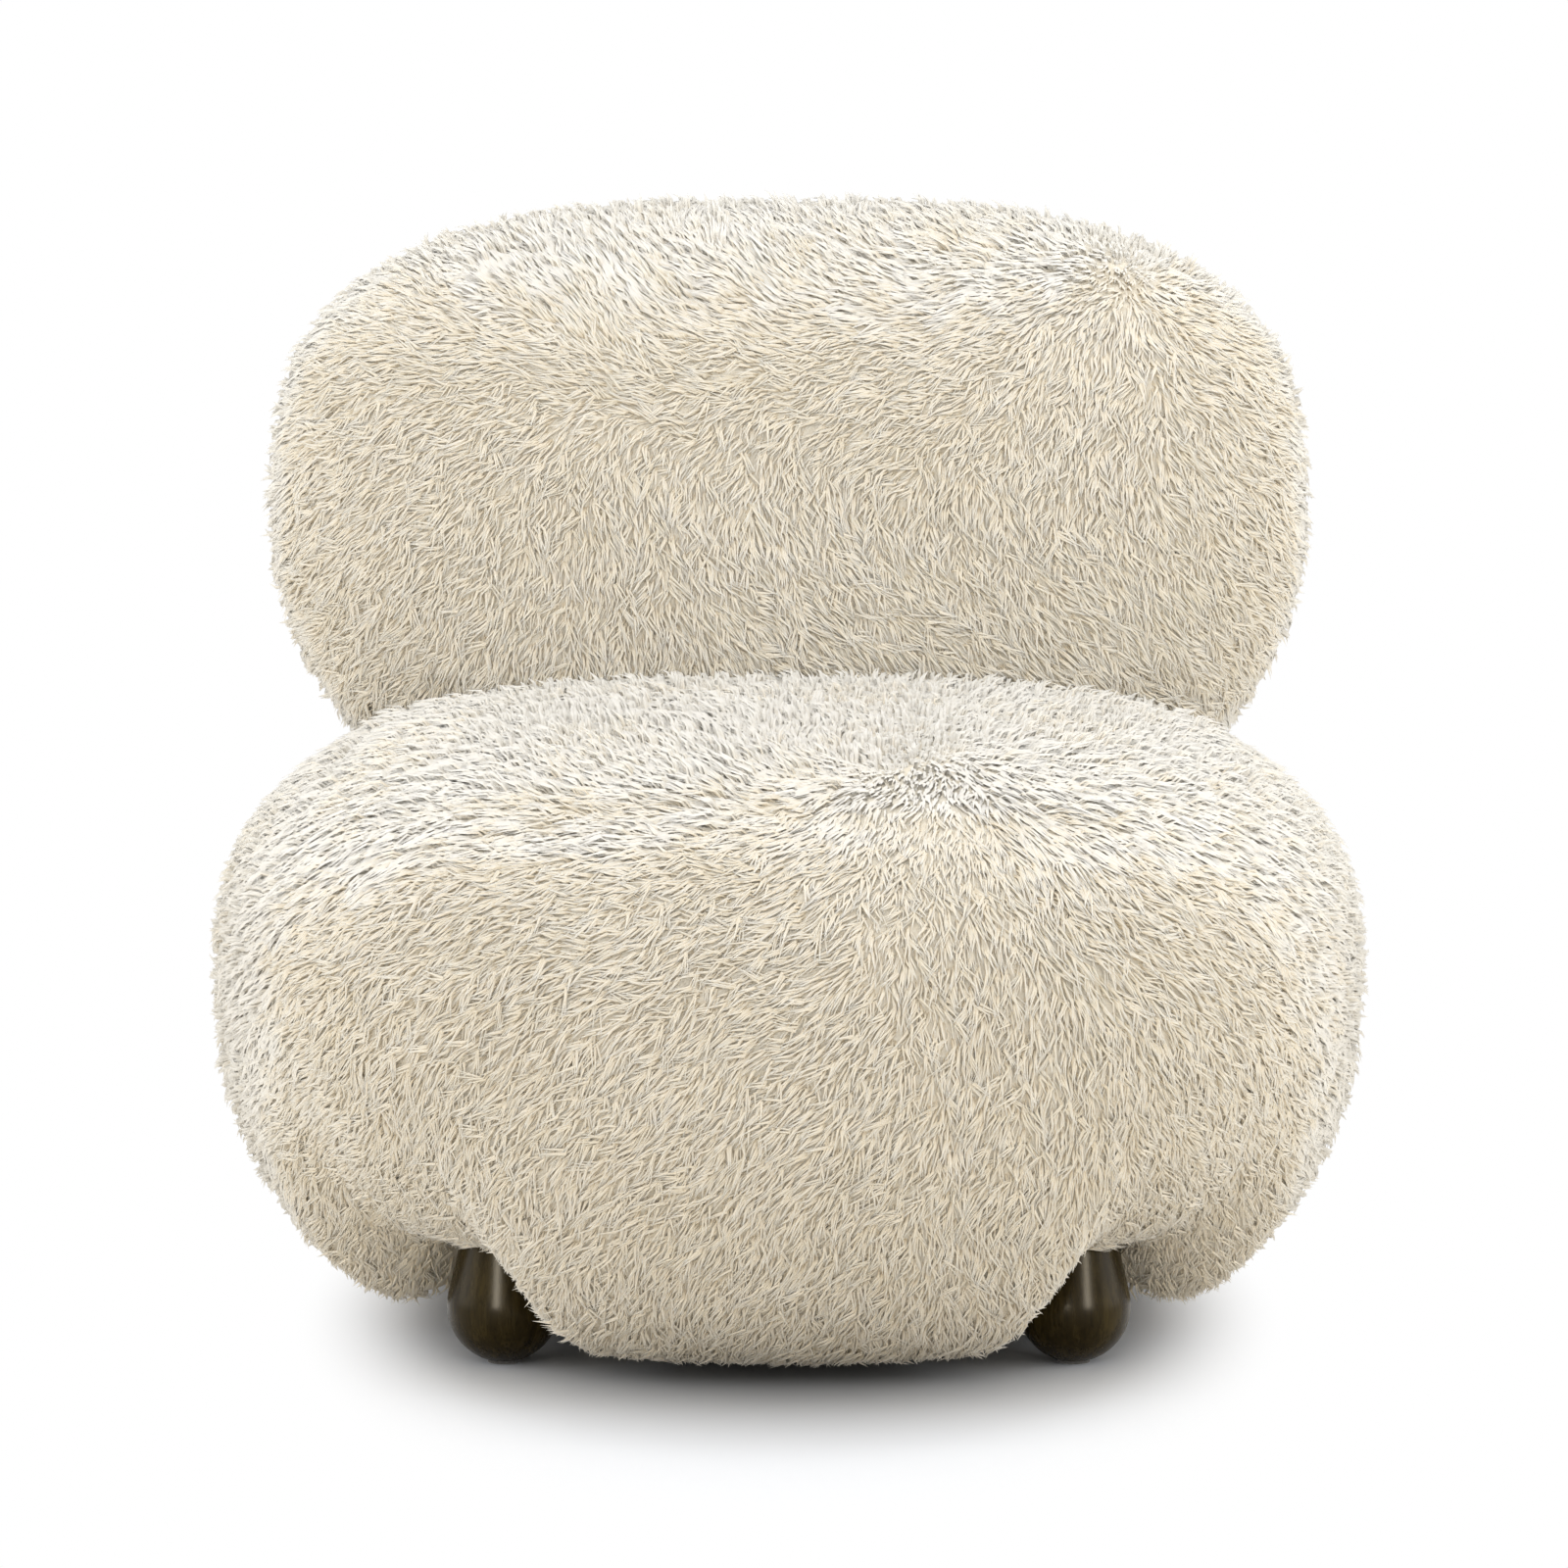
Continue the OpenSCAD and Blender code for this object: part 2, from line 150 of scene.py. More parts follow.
def ripple(points: np.ndarray, length: float, seed: int) -> np.ndarray:
    """A smooth random field, about -1.5 to 1.5, that changes over the given length.

    Args:
        points: Places, one to a row.
        length: Typical distance from crest to crest.
        seed: Picks the field.

    Returns:
        One value for each place.
    """
    rng = np.random.default_rng(seed)
    heading = unit(rng.normal(size=(RIPPLE_WAVES, 3)))
    number = heading * (2.0 * math.pi / length) * rng.uniform(0.6, 1.4, (RIPPLE_WAVES, 1))
    phase = rng.uniform(0.0, 2.0 * math.pi, RIPPLE_WAVES)
    return np.sqrt(2.0 / RIPPLE_WAVES) * np.cos(points @ number.T + phase).sum(axis=1)


def read_rows(items: bpy.types.bpy_prop_collection, attribute: str, kind: type = float) -> np.ndarray:
    """Reads three numbers from each item of a mesh.

    Args:
        items: The mesh's points, normals or triangles.
        attribute: What is read from each.
        kind: The numbers' type.

    Returns:
        One item to a row.
    """
    flat = np.empty(len(items) * 3, dtype=kind)
    items.foreach_get(attribute, flat)
    return flat.reshape(-1, 3)


def take_up(piece: Piece | None = None) -> None:
    """Selects one piece alone, or nothing, so that an operator acts on no other.

    Args:
        piece: The piece.
    """
    bpy.ops.object.select_all(action="DESELECT")
    if piece is not None:
        piece.select_set(True)
        bpy.context.view_layer.objects.active = piece


def link(name: str, data: bpy.types.ID) -> Piece:
    """Puts a mesh, lamp or camera into the scene.

    Args:
        name: The object's name.
        data: What it shows.

    Returns:
        The object.
    """
    piece = bpy.data.objects.new(name, data)
    bpy.context.scene.collection.objects.link(piece)
    return piece


def mesh_object(name: str, points: np.ndarray, faces: Sequence[Sequence[int]]) -> Piece:
    """A smooth-shaded mesh object from points and faces.

    Args:
        name: The piece's name.
        points: Places, one to a row, in metres.
        faces: Corner numbers of each face, turning so that it faces outwards.

    Returns:
        The object, linked to the scene.
    """
    mesh = bpy.data.meshes.new(name)
    mesh.from_pydata(points.tolist(), [], [tuple(f) for f in faces])
    mesh.polygons.foreach_set("use_smooth", np.ones(len(mesh.polygons), dtype=bool))
    mesh.update()
    return link(name, mesh)


def stand_in(piece: Piece, node: str, finish: Material) -> None:
    """Gives a new piece its finish, lets it stand for a CAD node, and reports it.

    Args:
        piece: The piece.
        node: The CAD node that it replaces.
        finish: Its material.
    """
    piece.data.materials.append(finish)
    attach(piece, BODY)
    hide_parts(node)
    log.info("%s: %d faces", piece.name, len(piece.data.polygons))


class Nodes:
    """A node tree, with what the finishes and the studio need to fill it."""

    def __init__(self, owner: Material | bpy.types.World) -> None:
        """Takes up the tree of a material or a world."""
        owner.use_nodes = True
        self.tree = owner.node_tree

    def set(self, node: bpy.types.Node, values: dict[str | int, object]) -> None:
        """Fills a node's input sockets.

        Args:
            node: The node.
            values: For each socket a plain value, or the output that it is joined to.
        """
        for socket, value in values.items():
            if isinstance(value, Socket):
                self.tree.links.new(value, node.inputs[socket])
            else:
                node.inputs[socket].default_value = value

    def add(self, kind: str, values: dict[str | int, object] | None = None,
            **settings: object) -> bpy.types.Node:
        """Adds a node.

        Args:
            kind: The node's type after its common ShaderNode.
            values: What fills its input sockets.
            **settings: Its own settings.

        Returns:
            The node.
        """
        node = self.tree.nodes.new(f"ShaderNode{kind}")
        for name, value in settings.items():
            setattr(node, name, value)
        self.set(node, values or {})
        return node

    def fade(self, value: Socket, start: float, end: float) -> Socket:
        """A soft step from 0 to 1 as a value goes from start to end."""
        limits = {"From Min": start, "From Max": end, "Value": value}
        return self.add("MapRange", limits, interpolation_type="SMOOTHSTEP").outputs["Result"]


class Shader(Nodes):
    """A material with one Principled surface."""

    def __init__(self, name: str, roughness: float, sheen: float = 0.0) -> None:
        """Starts the material.

        Args:
            name: The material's name.
            roughness: The surface's plain roughness.
            sheen: How much soft edge light its fibres give.
        """
        self.material = bpy.data.materials.new(name)
        super().__init__(self.material)
        self.surface = self.tree.nodes["Principled BSDF"]
        self.set(self.surface, {"Roughness": roughness, "Sheen Weight": sheen})

    def place(self, stretch: Place = EVEN) -> Socket:
        """Object coordinates, scaled along each axis."""
        here = self.add("TexCoord").outputs["Object"]
        return self.add("Mapping", {"Vector": here, "Scale": stretch}).outputs["Vector"]

    def noise(self, scale: float, detail: float = 3.0, rough: float = 0.5, stretch: Place = EVEN) -> Socket:
        """A noise pattern.

        Args:
            scale: Its scale.
            detail: How many finer layers it has.
            rough: How strong the finer layers are.
            stretch: Scale of its coordinates along each axis.

        Returns:
            Its value.
        """
        values = {"Vector": self.place(stretch), "Scale": scale, "Detail": detail, "Roughness": rough}
        return self.add("TexNoise", values).outputs["Fac"]

    def shades(self, value: Socket, *stops: tuple[float, Colour]) -> Socket:
        """Colours a value by stops.

        Args:
            value: The value.
            *stops: A place from 0 to 1 and a colour for each stop.

        Returns:
            The colour.
        """
        node = self.add("ValToRGB", {"Fac": value})
        bar = node.color_ramp.elements
        while len(bar) < len(stops):
            bar.new(0.5)
        for stop, (place, colour) in zip(bar, stops):
            stop.position = place
            stop.color = (*colour, 1.0)
        return node.outputs["Color"]

    def span(self, value: Socket, low: float, high: float) -> Socket:
        """A value of 0 to 1 stretched from low to high."""
        return self.add("MapRange", {"To Min": low, "To Max": high, "Value": value}).outputs["Result"]

    def blend(self, a: Socket, b: Socket, share: float | Socket = 1.0, how: str = "MULTIPLY") -> Socket:
        """Blends two colours.

        Args:
            a: The first colour.
            b: The second colour.
            share: How much of the second goes in, 0 to 1.
            how: The way of blending.

        Returns:
            The blended colour.
        """
        node = self.add("Mix", {"Factor": share}, data_type="RGBA", blend_type=how)
        self.set(node, {"A": a, "B": b})
        return node.outputs["Result"]

    def finish(self, colour: Socket, height: Socket | None = None, distance: float = 0.0,
               strength: float = 0.5, rough: Socket | None = None) -> Material:
        """Closes the material.

        Args:
            colour: Its base colour.
            height: The pattern of its relief.
            distance: How high the relief is, in metres.
            strength: How strongly the relief shows.
            rough: Its roughness, where it changes over the surface.

        Returns:
            The material.
        """
        self.set(self.surface, {"Base Color": colour})
        if rough is not None:
            self.set(self.surface, {"Roughness": rough})
        if height is not None:
            bump = self.add("Bump", {"Strength": strength, "Distance": distance, "Height": height})
            self.set(self.surface, {"Normal": bump.outputs["Normal"]})
        return self.material


# Finishes


@dataclass(frozen=True)
class PileFinish:
    """Cream pile: warm roots and pale tips in the locks, and a paler, even cream where it lies smooth.

    The locks' darker roots are partly the pile's own colour and partly painted shade in the gaps between
    locks.
    The smooth colours are painted edge light, and the darker lines are painted shade between hairs and along
    each strand's sides. A pair of colours is for the locks and for the smooth pile.
    """

    # Root to tip, darker and warmer to pale: partly the pile's own colour, partly painted shade, as the roots
    # show mostly in the gaps
    root: Colour = (0.76, 0.64, 0.45)
    middle: Colour = (0.915, 0.855, 0.74)
    upper: Colour = (0.96, 0.93, 0.865)
    tip: Colour = (0.975, 0.96, 0.925)
    deep_lock: Colour = (0.955, 0.94, 0.905)
    # Painted light: the smooth colours are paler and more even than the locks', standing for the bright edge
    # light over the top and turned sides, with pale roots lighting the gaps
    smooth_root_painted_light: Colour = (0.95, 0.885, 0.765)
    smooth_middle_painted_light: Colour = (0.965, 0.94, 0.885)
    smooth_tip_painted_light: Colour = (0.96, 0.945, 0.92)
    # Hair lines are partly fine hair texture and partly painted shade between hairs; side lines are painted
    # shade along each strand's sides and underside
    hair_lines_and_painted_shade: tuple[Colour, Colour] = ((0.86, 0.78, 0.65), (0.965, 0.945, 0.91))
    side_painted_shade: tuple[Colour, Colour] = ((0.86, 0.77, 0.62), (0.96, 0.92, 0.85))
    hairs: int = 3
    sheen_tint: tuple[float, float, float, float] = (1.0, 0.98, 0.94, 1.0)

    def material(self) -> Material:
        """Reads the pile's own map: across it are the tones, and along it root to tip.

        Returns:
            The material.
        """
        s = Shader("cream_pile", roughness=0.7, sheen=1.0)
        s.set(s.surface, {"Sheen Roughness": 0.5, "Sheen Tint": self.sheen_tint, "Specular IOR Level": 0.05})
        place = s.add("SeparateXYZ", {"Vector": s.add("UVMap", uv_map=PILE_MAP).outputs["UV"]}).outputs
        lock = s.shades(place["Y"], (0.0, self.root), (0.5, self.middle), (0.8, self.upper), (1.0, self.tip))
        # Past a tone of 0.45 the strand takes the smooth colours, which are painted edge light
        smooth = s.shades(place["Y"], (0.15, self.smooth_root_painted_light), (0.5, self.smooth_middle_painted_light),
                          (0.75, self.smooth_tip_painted_light))
        share = s.fade(place["X"], 0.45, 0.85)
        along = s.blend(lock, smooth, share, "MIX")
        tone = s.shades(place["X"], (0.0, self.deep_lock), (0.45, WHITE))
        # The darker lines paint shade between the hairs and along each strand's sides and underside
        hairs = self.lines(s, place["X"], share, self.hairs, (0.05, 0.6), self.hair_lines_and_painted_shade)
        sides = self.lines(s, place["X"], share, 1, (0.2, 0.75), self.side_painted_shade)
        return s.finish(s.blend(s.blend(along, tone), s.blend(hairs, sides)))

    def lines(self, s: Shader, place: Socket, share: Socket, humps: int, span: Pair,
              shades: tuple[Colour, Colour]) -> Socket:
        """A darker line at each side of every hump across a strand: painted shade between the hairs, or along
        the strand's sides and underside.

        Args:
            s: The shader.
            place: The map's place across the strands.
            share: How far the strand belongs to the smooth pile.
            humps: How many humps each strand has.
            span: Heights of a hump at which the line's colour starts and ends to fade.
            shades: The line's colour in the locks and in the smooth pile.

        Returns:
            The colour.
        """
        swing = s.add("Math", {0: place, 1: TONE_COLUMNS * humps * math.pi}, operation="MULTIPLY")
        wave = s.add("Math", {0: swing.outputs[0]}, operation="SINE")
        hump = s.add("Math", {0: wave.outputs[0]}, operation="ABSOLUTE").outputs[0]
        lock, smooth = (s.shades(hump, (span[0], shade), (span[1], WHITE)) for shade in shades)
        return s.blend(lock, smooth, share, "MIX")


@dataclass(frozen=True)
class BackingFinish:
    """The knitted ground under the pile, a quiet cream that shows between the strands."""

    dark: Colour = (0.80, 0.72, 0.58)
    light: Colour = (0.91, 0.86, 0.76)

    def material(self) -> Material:
        """Fine knit loops with slow changes of tone.

        Returns:
            The material.
        """
        s = Shader("pile_backing", roughness=0.9, sheen=0.1)
        knit, slow = s.noise(300.0, 2.0), s.noise(14.0)
        colour = s.blend(s.shades(slow, (0.3, self.dark), (0.7, self.light)),
                         s.shades(knit, (0.35, self.dark), (0.65, self.light)), 0.5, "MIX")
        return s.finish(colour, knit, 0.0008, 0.6)


@dataclass(frozen=True)
class TurnedWoodFinish:
    """Dark brown stained hardwood with upright grain, open pores and a satin lacquer."""

    dark: Colour = (0.017, 0.0115, 0.0032)
    middle: Colour = (0.033, 0.0235, 0.0068)
    light: Colour = (0.060, 0.043, 0.0125)
    worn: Colour = (0.62, 0.60, 0.56)

    def material(self) -> Material:
        """Grain streaks run up the leg, with pores and a slow change of stain.

        Returns:
            The material.
        """
        s = Shader("stained_leg_wood", roughness=0.2)
        s.set(s.surface, {"Specular IOR Level": 0.15, "Specular Tint": (1.0, 0.86, 0.66, 1.0)})
        streak = s.noise(130.0, 5.0, 0.6, (1.0, 1.0, 0.12))
        stain = s.noise(16.0, stretch=(1.0, 1.0, 0.5))
        pores = s.noise(520.0, 2.0, stretch=(1.0, 1.0, 0.05))
        grain = s.shades(streak, (0.3, self.dark), (0.5, self.middle), (0.72, self.light))
        stained = s.blend(grain, s.shades(stain, (0.3, self.worn), (0.7, WHITE)))
        colour = s.blend(stained, s.shades(pores, (0.34, self.worn), (0.46, WHITE)))
        return s.finish(colour, pores, 0.0001, 0.3, s.span(streak, 0.22, 0.32))


@dataclass(frozen=True)
class BareWoodFinish:
    """Unfinished softwood or plywood of the hidden frame."""

    name: str
    dark: Colour
    light: Colour
    run: Place = (0.08, 1.0, 1.0)
    layers: float = 0.0
    pore: Colour = (0.82, 0.80, 0.76)
    glue_line: Colour = (0.72, 0.66, 0.58)

    def material(self) -> Material:
        """Long grain along the board, and plies across its thickness where it has them.

        Returns:
            The material.
        """
        s = Shader(self.name, roughness=0.72)
        grain = s.noise(70.0, 5.0, 0.6, self.run)
        fine = s.noise(420.0, 2.0, stretch=self.run)
        colour = s.blend(s.shades(grain, (0.3, self.dark), (0.7, self.light)),
                         s.shades(fine, (0.35, self.pore), (0.6, WHITE)))
        if self.layers:
            ply = s.add("TexWave", {"Vector": s.place(), "Scale": self.layers, "Distortion": 0.3},
                        bands_direction="Z").outputs["Fac"]
            colour = s.blend(colour, s.shades(ply, (0.25, self.glue_line), (0.75, WHITE)), 0.6)
        return s.finish(colour, fine, 0.0003, 0.4, s.span(grain, 0.62, 0.85))


@dataclass(frozen=True)
class SteelFinish:
    """Zinc-plated fixings with a faint drawn grain."""

    bright: Colour = (0.62, 0.63, 0.64)
    dull_share: float = 0.82

    def material(self) -> Material:
        """Plated steel with uneven polish.

        Returns:
            The material.
        """
        s = Shader("zinc_plated_steel", roughness=0.32)
        s.set(s.surface, {"Metallic": 1.0})
        cloud = s.noise(180.0, 4.0)
        dull = tuple(self.dull_share * c for c in self.bright)
        drawn = s.noise(300.0, 2.0, stretch=(1.0, 1.0, 12.0))
        return s.finish(s.shades(cloud, (0.3, dull), (0.7, self.bright)), drawn, 0.0001, 0.3,
                        s.span(cloud, 0.24, 0.42))


@dataclass(frozen=True)
class FeltFinish:
    """Pressed dark felt of the glides."""

    dark: Colour = (0.05, 0.045, 0.04)
    light: Colour = (0.13, 0.12, 0.105)

    def material(self) -> Material:
        """Matted fibres.

        Returns:
            The material.
        """
        s = Shader("pressed_felt", roughness=0.95, sheen=0.4)
        fibre = s.noise(900.0, 5.0, 0.7)
        return s.finish(s.shades(fibre, (0.35, self.dark), (0.65, self.light)), fibre, 0.0006, 0.7)


@dataclass(frozen=True)
class WovenFinish:
    """A plain weave: jute webbing, or black dust cloth."""

    name: str
    dark: Colour
    light: Colour
    threads: float = 160.0
    depth: float = 0.0005
    thin_yarn: Colour = (0.75, 0.75, 0.75)

    def material(self) -> Material:
        """Two crossed sets of threads with uneven yarn.

        Returns:
            The material.
        """
        s = Shader(self.name, roughness=0.85, sheen=0.15)
        warp, weft = (s.add("TexWave", {"Vector": s.place(), "Scale": self.threads, "Distortion": 0.6,
                                        "Detail": 1.0}, bands_direction=way).outputs["Color"] for way in "XY")
        level = s.add("RGBToBW", {"Color": s.blend(warp, weft, 0.7)}).outputs["Val"]
        colour = s.blend(s.shades(level, (0.1, self.dark), (0.8, self.light)),
                         s.shades(s.noise(60.0, 4.0), (0.3, self.thin_yarn), (0.7, WHITE)))
        return s.finish(colour, level, self.depth)


@dataclass(frozen=True)
class FoamFinish:
    """Open-cell foam or loose polyester wadding."""

    name: str
    dark: Colour
    light: Colour
    cells: float = 700.0
    depth: float = 0.0006
    wall: Colour = (0.78, 0.76, 0.72)

    def material(self) -> Material:
        """Small open cells with a slow change of tone.

        Returns:
            The material.
        """
        s = Shader(self.name, roughness=0.92)
        cell = s.add("TexVoronoi", {"Vector": s.place(), "Scale": self.cells}).outputs["Distance"]
        colour = s.blend(s.shades(s.noise(9.0), (0.3, self.dark), (0.7, self.light)),
                         s.shades(cell, (0.0, self.wall), (0.4, WHITE)))
        return s.finish(colour, cell, self.depth)


# The padded forms under the pile


@dataclass(frozen=True)
class SeatForm:
    """The seat's outer form: a squared round in plan, with lobes that drop between the legs.

    A point is named by its direction round the seat and its swing from the
    crown, 90, over the belly, 0, to the bottom of a lobe, -90, and on to the
    hem under the base board, -180. Depth is how far below the pile's tips.
    """

    width: float = 0.866
    crown: float = 0.467
    front: float = 0.466
    rear: float = 0.424
    belly: float = 0.260
    lobe_gap: float = 0.012
    side_lobe_gap: float = 0.042
    pinch: float = 0.010
    pinch_angle: float = 55.0
    leg_x: float = 0.208
    leg_front: float = 0.244
    leg_rear: float = 0.216
    leg_top: float = 0.105
    notch_drop: float = 0.015
    notch_roof: float = 0.0022
    flat_angle: float = 6.0
    notch_angle: float = 17.0
    hem_gap: float = 0.0003
    plan_power: float = 2.68
    crown_power: float = 2.9
    belly_power: float = 1.84
    hem_power: float = 2.0
    hem_plan_power: float = 5.0
    lobe_share: float = 0.355

    @property
    def middle_y(self) -> float:
        """Where the seat's middle lies, front to rear."""
        return (self.front - self.rear) / 2.0

    @property
    def hem_z(self) -> float:
        """Height of the hem under the base board."""
        return self.leg_top - self.hem_gap

    def leg_places(self) -> list[Pair]:
        """Axes of the four legs: front left, front right, rear left, rear right."""
        y_front, y_rear = self.middle_y - self.leg_front, self.middle_y + self.leg_rear
        return [(s * self.leg_x, y) for y in (y_front, y_rear) for s in (-1.0, 1.0)]

    def notch(self, turn: np.ndarray) -> np.ndarray:
        """How far the cover is drawn up over a leg.

        Args:
            turn: Directions round the seat, in radians.

        Returns:
            0 for not at all to 1 for fully, in each direction.
        """
        lift = np.zeros_like(turn)
        for x, y in self.leg_places():
            leg = math.atan2(y - self.middle_y, x)
            off = np.degrees(np.abs((turn - leg + math.pi) % (2.0 * math.pi) - math.pi))
            lift = np.maximum(lift, ramp((self.notch_angle - off) / (self.notch_angle - self.flat_angle)))
        return lift

    def points(self, turn: np.ndarray, swing: np.ndarray, depth: float) -> np.ndarray:
        """Places on the form.

        Args:
            turn: Directions round the seat, in radians.
            swing: Swings from crown to hem, in degrees.
            depth: How far below the pile's tips.

        Returns:
            One place to a row.
        """
        reach = np.where(np.sin(turn) >= 0.0, self.rear, self.front)
        notch = self.notch(turn)
        drawn = self.pinch * notch
        full = rim(turn, self.width / 2.0 - depth, reach - depth, self.plan_power)
        outer = full - drawn * ramp(-swing / self.pinch_angle)
        hem = rim(turn, self.leg_x + depth, self.leg_rear + depth, self.hem_plan_power)
        low_r = hem + self.lobe_share * (full - drawn - hem)
        lobe = self.lobe_gap + (self.side_lobe_gap - self.lobe_gap) * np.cos(turn) ** 2
        low = np.minimum(self.hem_z - self.notch_roof,
                         lobe + notch * (self.leg_top - self.notch_drop - lobe) + depth)
        c, s = np.abs(np.cos(np.radians(swing))), np.abs(np.sin(np.radians(swing)))
        top, side = swing >= 0.0, swing >= -90.0
        r = np.where(top, outer * c ** (2.0 / self.crown_power),
                     np.where(side, low_r + (outer - low_r) * c ** (2.0 / self.belly_power),
                              low_r - (low_r - hem) * c ** (2.0 / self.hem_power)))
        z = np.where(top, self.belly + (self.crown - depth - self.belly) * s ** (2.0 / self.crown_power),
                     np.where(side, self.belly - (self.belly - low) * s ** (2.0 / self.belly_power),
                              self.hem_z - (self.hem_z - low) * s ** (2.0 / self.hem_power)))
        return np.stack([r * np.cos(turn), self.middle_y + r * np.sin(turn), z], axis=-1)

    def holds(self, places: np.ndarray, depth: float) -> np.ndarray:
        """Which places lie in the form's upper half.

        Args:
            places: The places, one to a row.
            depth: How far the form's skin is below the pile's tips.

        Returns:
            True for each that does.
        """
        x, y, z = places[:, 0], places[:, 1] - self.middle_y, places[:, 2]
        turn = np.arctan2(y, x)
        outer = rim(turn, self.width / 2.0 - depth,
                    np.where(y >= 0.0, self.rear, self.front) - depth, self.plan_power)
        rise = np.maximum(z - self.belly, 0.0) / (self.crown - depth - self.belly)
        return (np.hypot(x, y) / outer) ** self.crown_power + rise**self.crown_power < 1.0

    def shell(self, depth: float, round_count: int, swing_count: int) -> Skin:
        """A closed skin of the form.

        Args:
            depth: How far below the pile's tips.
            round_count: Points round the seat.
            swing_count: Rows from crown to hem.

        Returns:
            Its points and faces.
        """
        turn = np.linspace(0.0, 2.0 * math.pi, round_count, endpoint=False)
        upper = np.linspace(84.0, 0.0, swing_count // 3, endpoint=False)
        lower = np.linspace(0.0, -180.0, swing_count - len(upper))
        rows = [self.points(turn, np.full_like(turn, v), depth) for v in (*upper, *lower)]
        crown = np.array([[0.0, self.middle_y, self.crown - depth]])
        hem = np.array([[0.0, self.middle_y, self.hem_z]])
        return close_rows(crown, rows, hem)


@dataclass(frozen=True)
class BackForm:
    """The back roll's outer form: wide, leaning, wrapped a little forward at its ends."""

    width: float = 0.820
    thickness: float = 0.326
    overall: float = 0.830
    sink: float = 0.177
    up_share: float = 0.46
    lean: float = 8.0
    wrap: float = 0.042
    up_power: float = 3.0
    down_power: float = 2.1
    end_power: float = 2.6
    round_power: float = 2.3
    seat: SeatForm = SeatForm()

    @property
    def tall(self) -> float:
        """Height of the roll, its part behind the seat included."""
        return self.overall - self.seat.crown + self.sink

    @property
    def middle_z(self) -> float:
        """Height of the roll's middle line."""
        return self.overall - self.tall * self.up_share

    @property
    def middle_y(self) -> float:
        """Where the middle line lies, so that the roll's rear is level with the seat's.

        Returns:
            Its place from front to rear.
        """
        turns = np.radians(np.linspace(0.0, 360.0, 181))
        s, a = np.meshgrid(np.linspace(0.0, 0.985, 60), turns, indexing="ij")
        return self.seat.middle_y + self.seat.rear - float(self.shape(s, a, 0.0)[..., 1].max())

    def halves(self, s: np.ndarray, depth: float) -> tuple[np.ndarray, np.ndarray, np.ndarray]:
        """How far the roll reaches from its middle line.

        Args:
            s: Place along the roll, -1 to 1.
            depth: How far below the pile's tips.

        Returns:
            Reach up, down, and front to rear.
        """
        m, up = np.minimum(np.abs(s), 1.0), self.up_share
        reach = ((self.tall * up, self.up_power), (self.tall * (1.0 - up), self.down_power),
                 (self.thickness / 2.0, self.end_power))
        return tuple((full - depth) * (1.0 - m**power) ** (1.0 / power) for full, power in reach)

    def shape(self, s: np.ndarray, around: np.ndarray, depth: float) -> np.ndarray:
        """Places on the roll before it is moved to the seat's rear.

        Args:
            s: Place along the roll, -1 to 1.
            around: Angle round its section, in radians from its top.
            depth: How far below the pile's tips.

        Returns:
            One place to a row.
        """
        up, down, deep = self.halves(s, depth)
        c, n = np.cos(around), np.sin(around)
        e = 2.0 / self.round_power
        h = np.where(c >= 0.0, up, down) * np.sign(c) * np.abs(c) ** e
        y = deep * np.sign(n) * np.abs(n) ** e - self.wrap * s * s
        return np.stack([(self.width / 2.0 - depth) * s, y + h * math.tan(math.radians(self.lean)),
                         self.middle_z + h], axis=-1)

    def holds(self, places: np.ndarray, depth: float) -> np.ndarray:
        """Which places lie in the form.

        Args:
            places: The places, one to a row.
            depth: How far the form's skin is below the pile's tips.

        Returns:
            True for each that does.
        """
        s = places[:, 0] / (self.width / 2.0 - depth)
        up, down, deep = self.halves(s, depth)
        h = places[:, 2] - self.middle_z
        y = places[:, 1] - self.middle_y - h * math.tan(math.radians(self.lean)) + self.wrap * s * s
        tall = np.maximum(np.where(h >= 0.0, up, down), 1e-6)
        wide = np.maximum(deep, 1e-6)
        filled = (np.abs(h) / tall) ** self.round_power + (np.abs(y) / wide) ** self.round_power
        return (np.abs(s) < 1.0) & (filled < 1.0)

    def shell(self, depth: float, stations: int, round_count: int) -> Skin:
        """A closed skin of the form.

        Args:
            depth: How far below the pile's tips.
            stations: Rows along the roll.
            round_count: Points round each section.

        Returns:
            Its points and faces.
        """
        around = np.linspace(0.0, 2.0 * math.pi, round_count, endpoint=False)
        along = np.sin(np.linspace(-0.5, 0.5, stations + 2)[1:-1] * math.pi)
        shift = np.array([0.0, self.middle_y, 0.0])
        rows = [self.shape(np.full_like(around, s), around, depth) + shift for s in along]
        ends = [self.shape(np.array([s]), np.array([0.0]), depth) + shift for s in (-1.0, 1.0)]
        return close_rows(ends[0], rows, ends[1])


def close_rows(first: np.ndarray, rows: Sequence[np.ndarray], last: np.ndarray) -> Skin:
    """Joins rings of points to a closed skin that faces outwards.

    Args:
        first: The pole before the first ring.
        rows: The rings, all of one count.
        last: The pole after the last ring.

    Returns:
        The points and faces.
    """
    n = len(rows[0])
    points = np.concatenate([first, *rows, last])
    end, base = len(points) - 1, 1 + (len(rows) - 1) * n
    faces: list[list[int]] = []
    for j in range(n):
        k = (j + 1) % n
        faces += [[0, 1 + j, 1 + k], [end, base + k, base + j]]
        faces += [[a + j, a + n + j, a + n + k, a + k] for a in range(1, base, n)]
    corner = points[faces[2 + len(rows) // 3]]
    away = corner.mean(axis=0) - points.mean(axis=0)
    if np.cross(corner[1] - corner[0], corner[2] - corner[0]) @ away < 0.0:
        faces = [f[::-1] for f in faces]
    return points, faces


# Stuffing


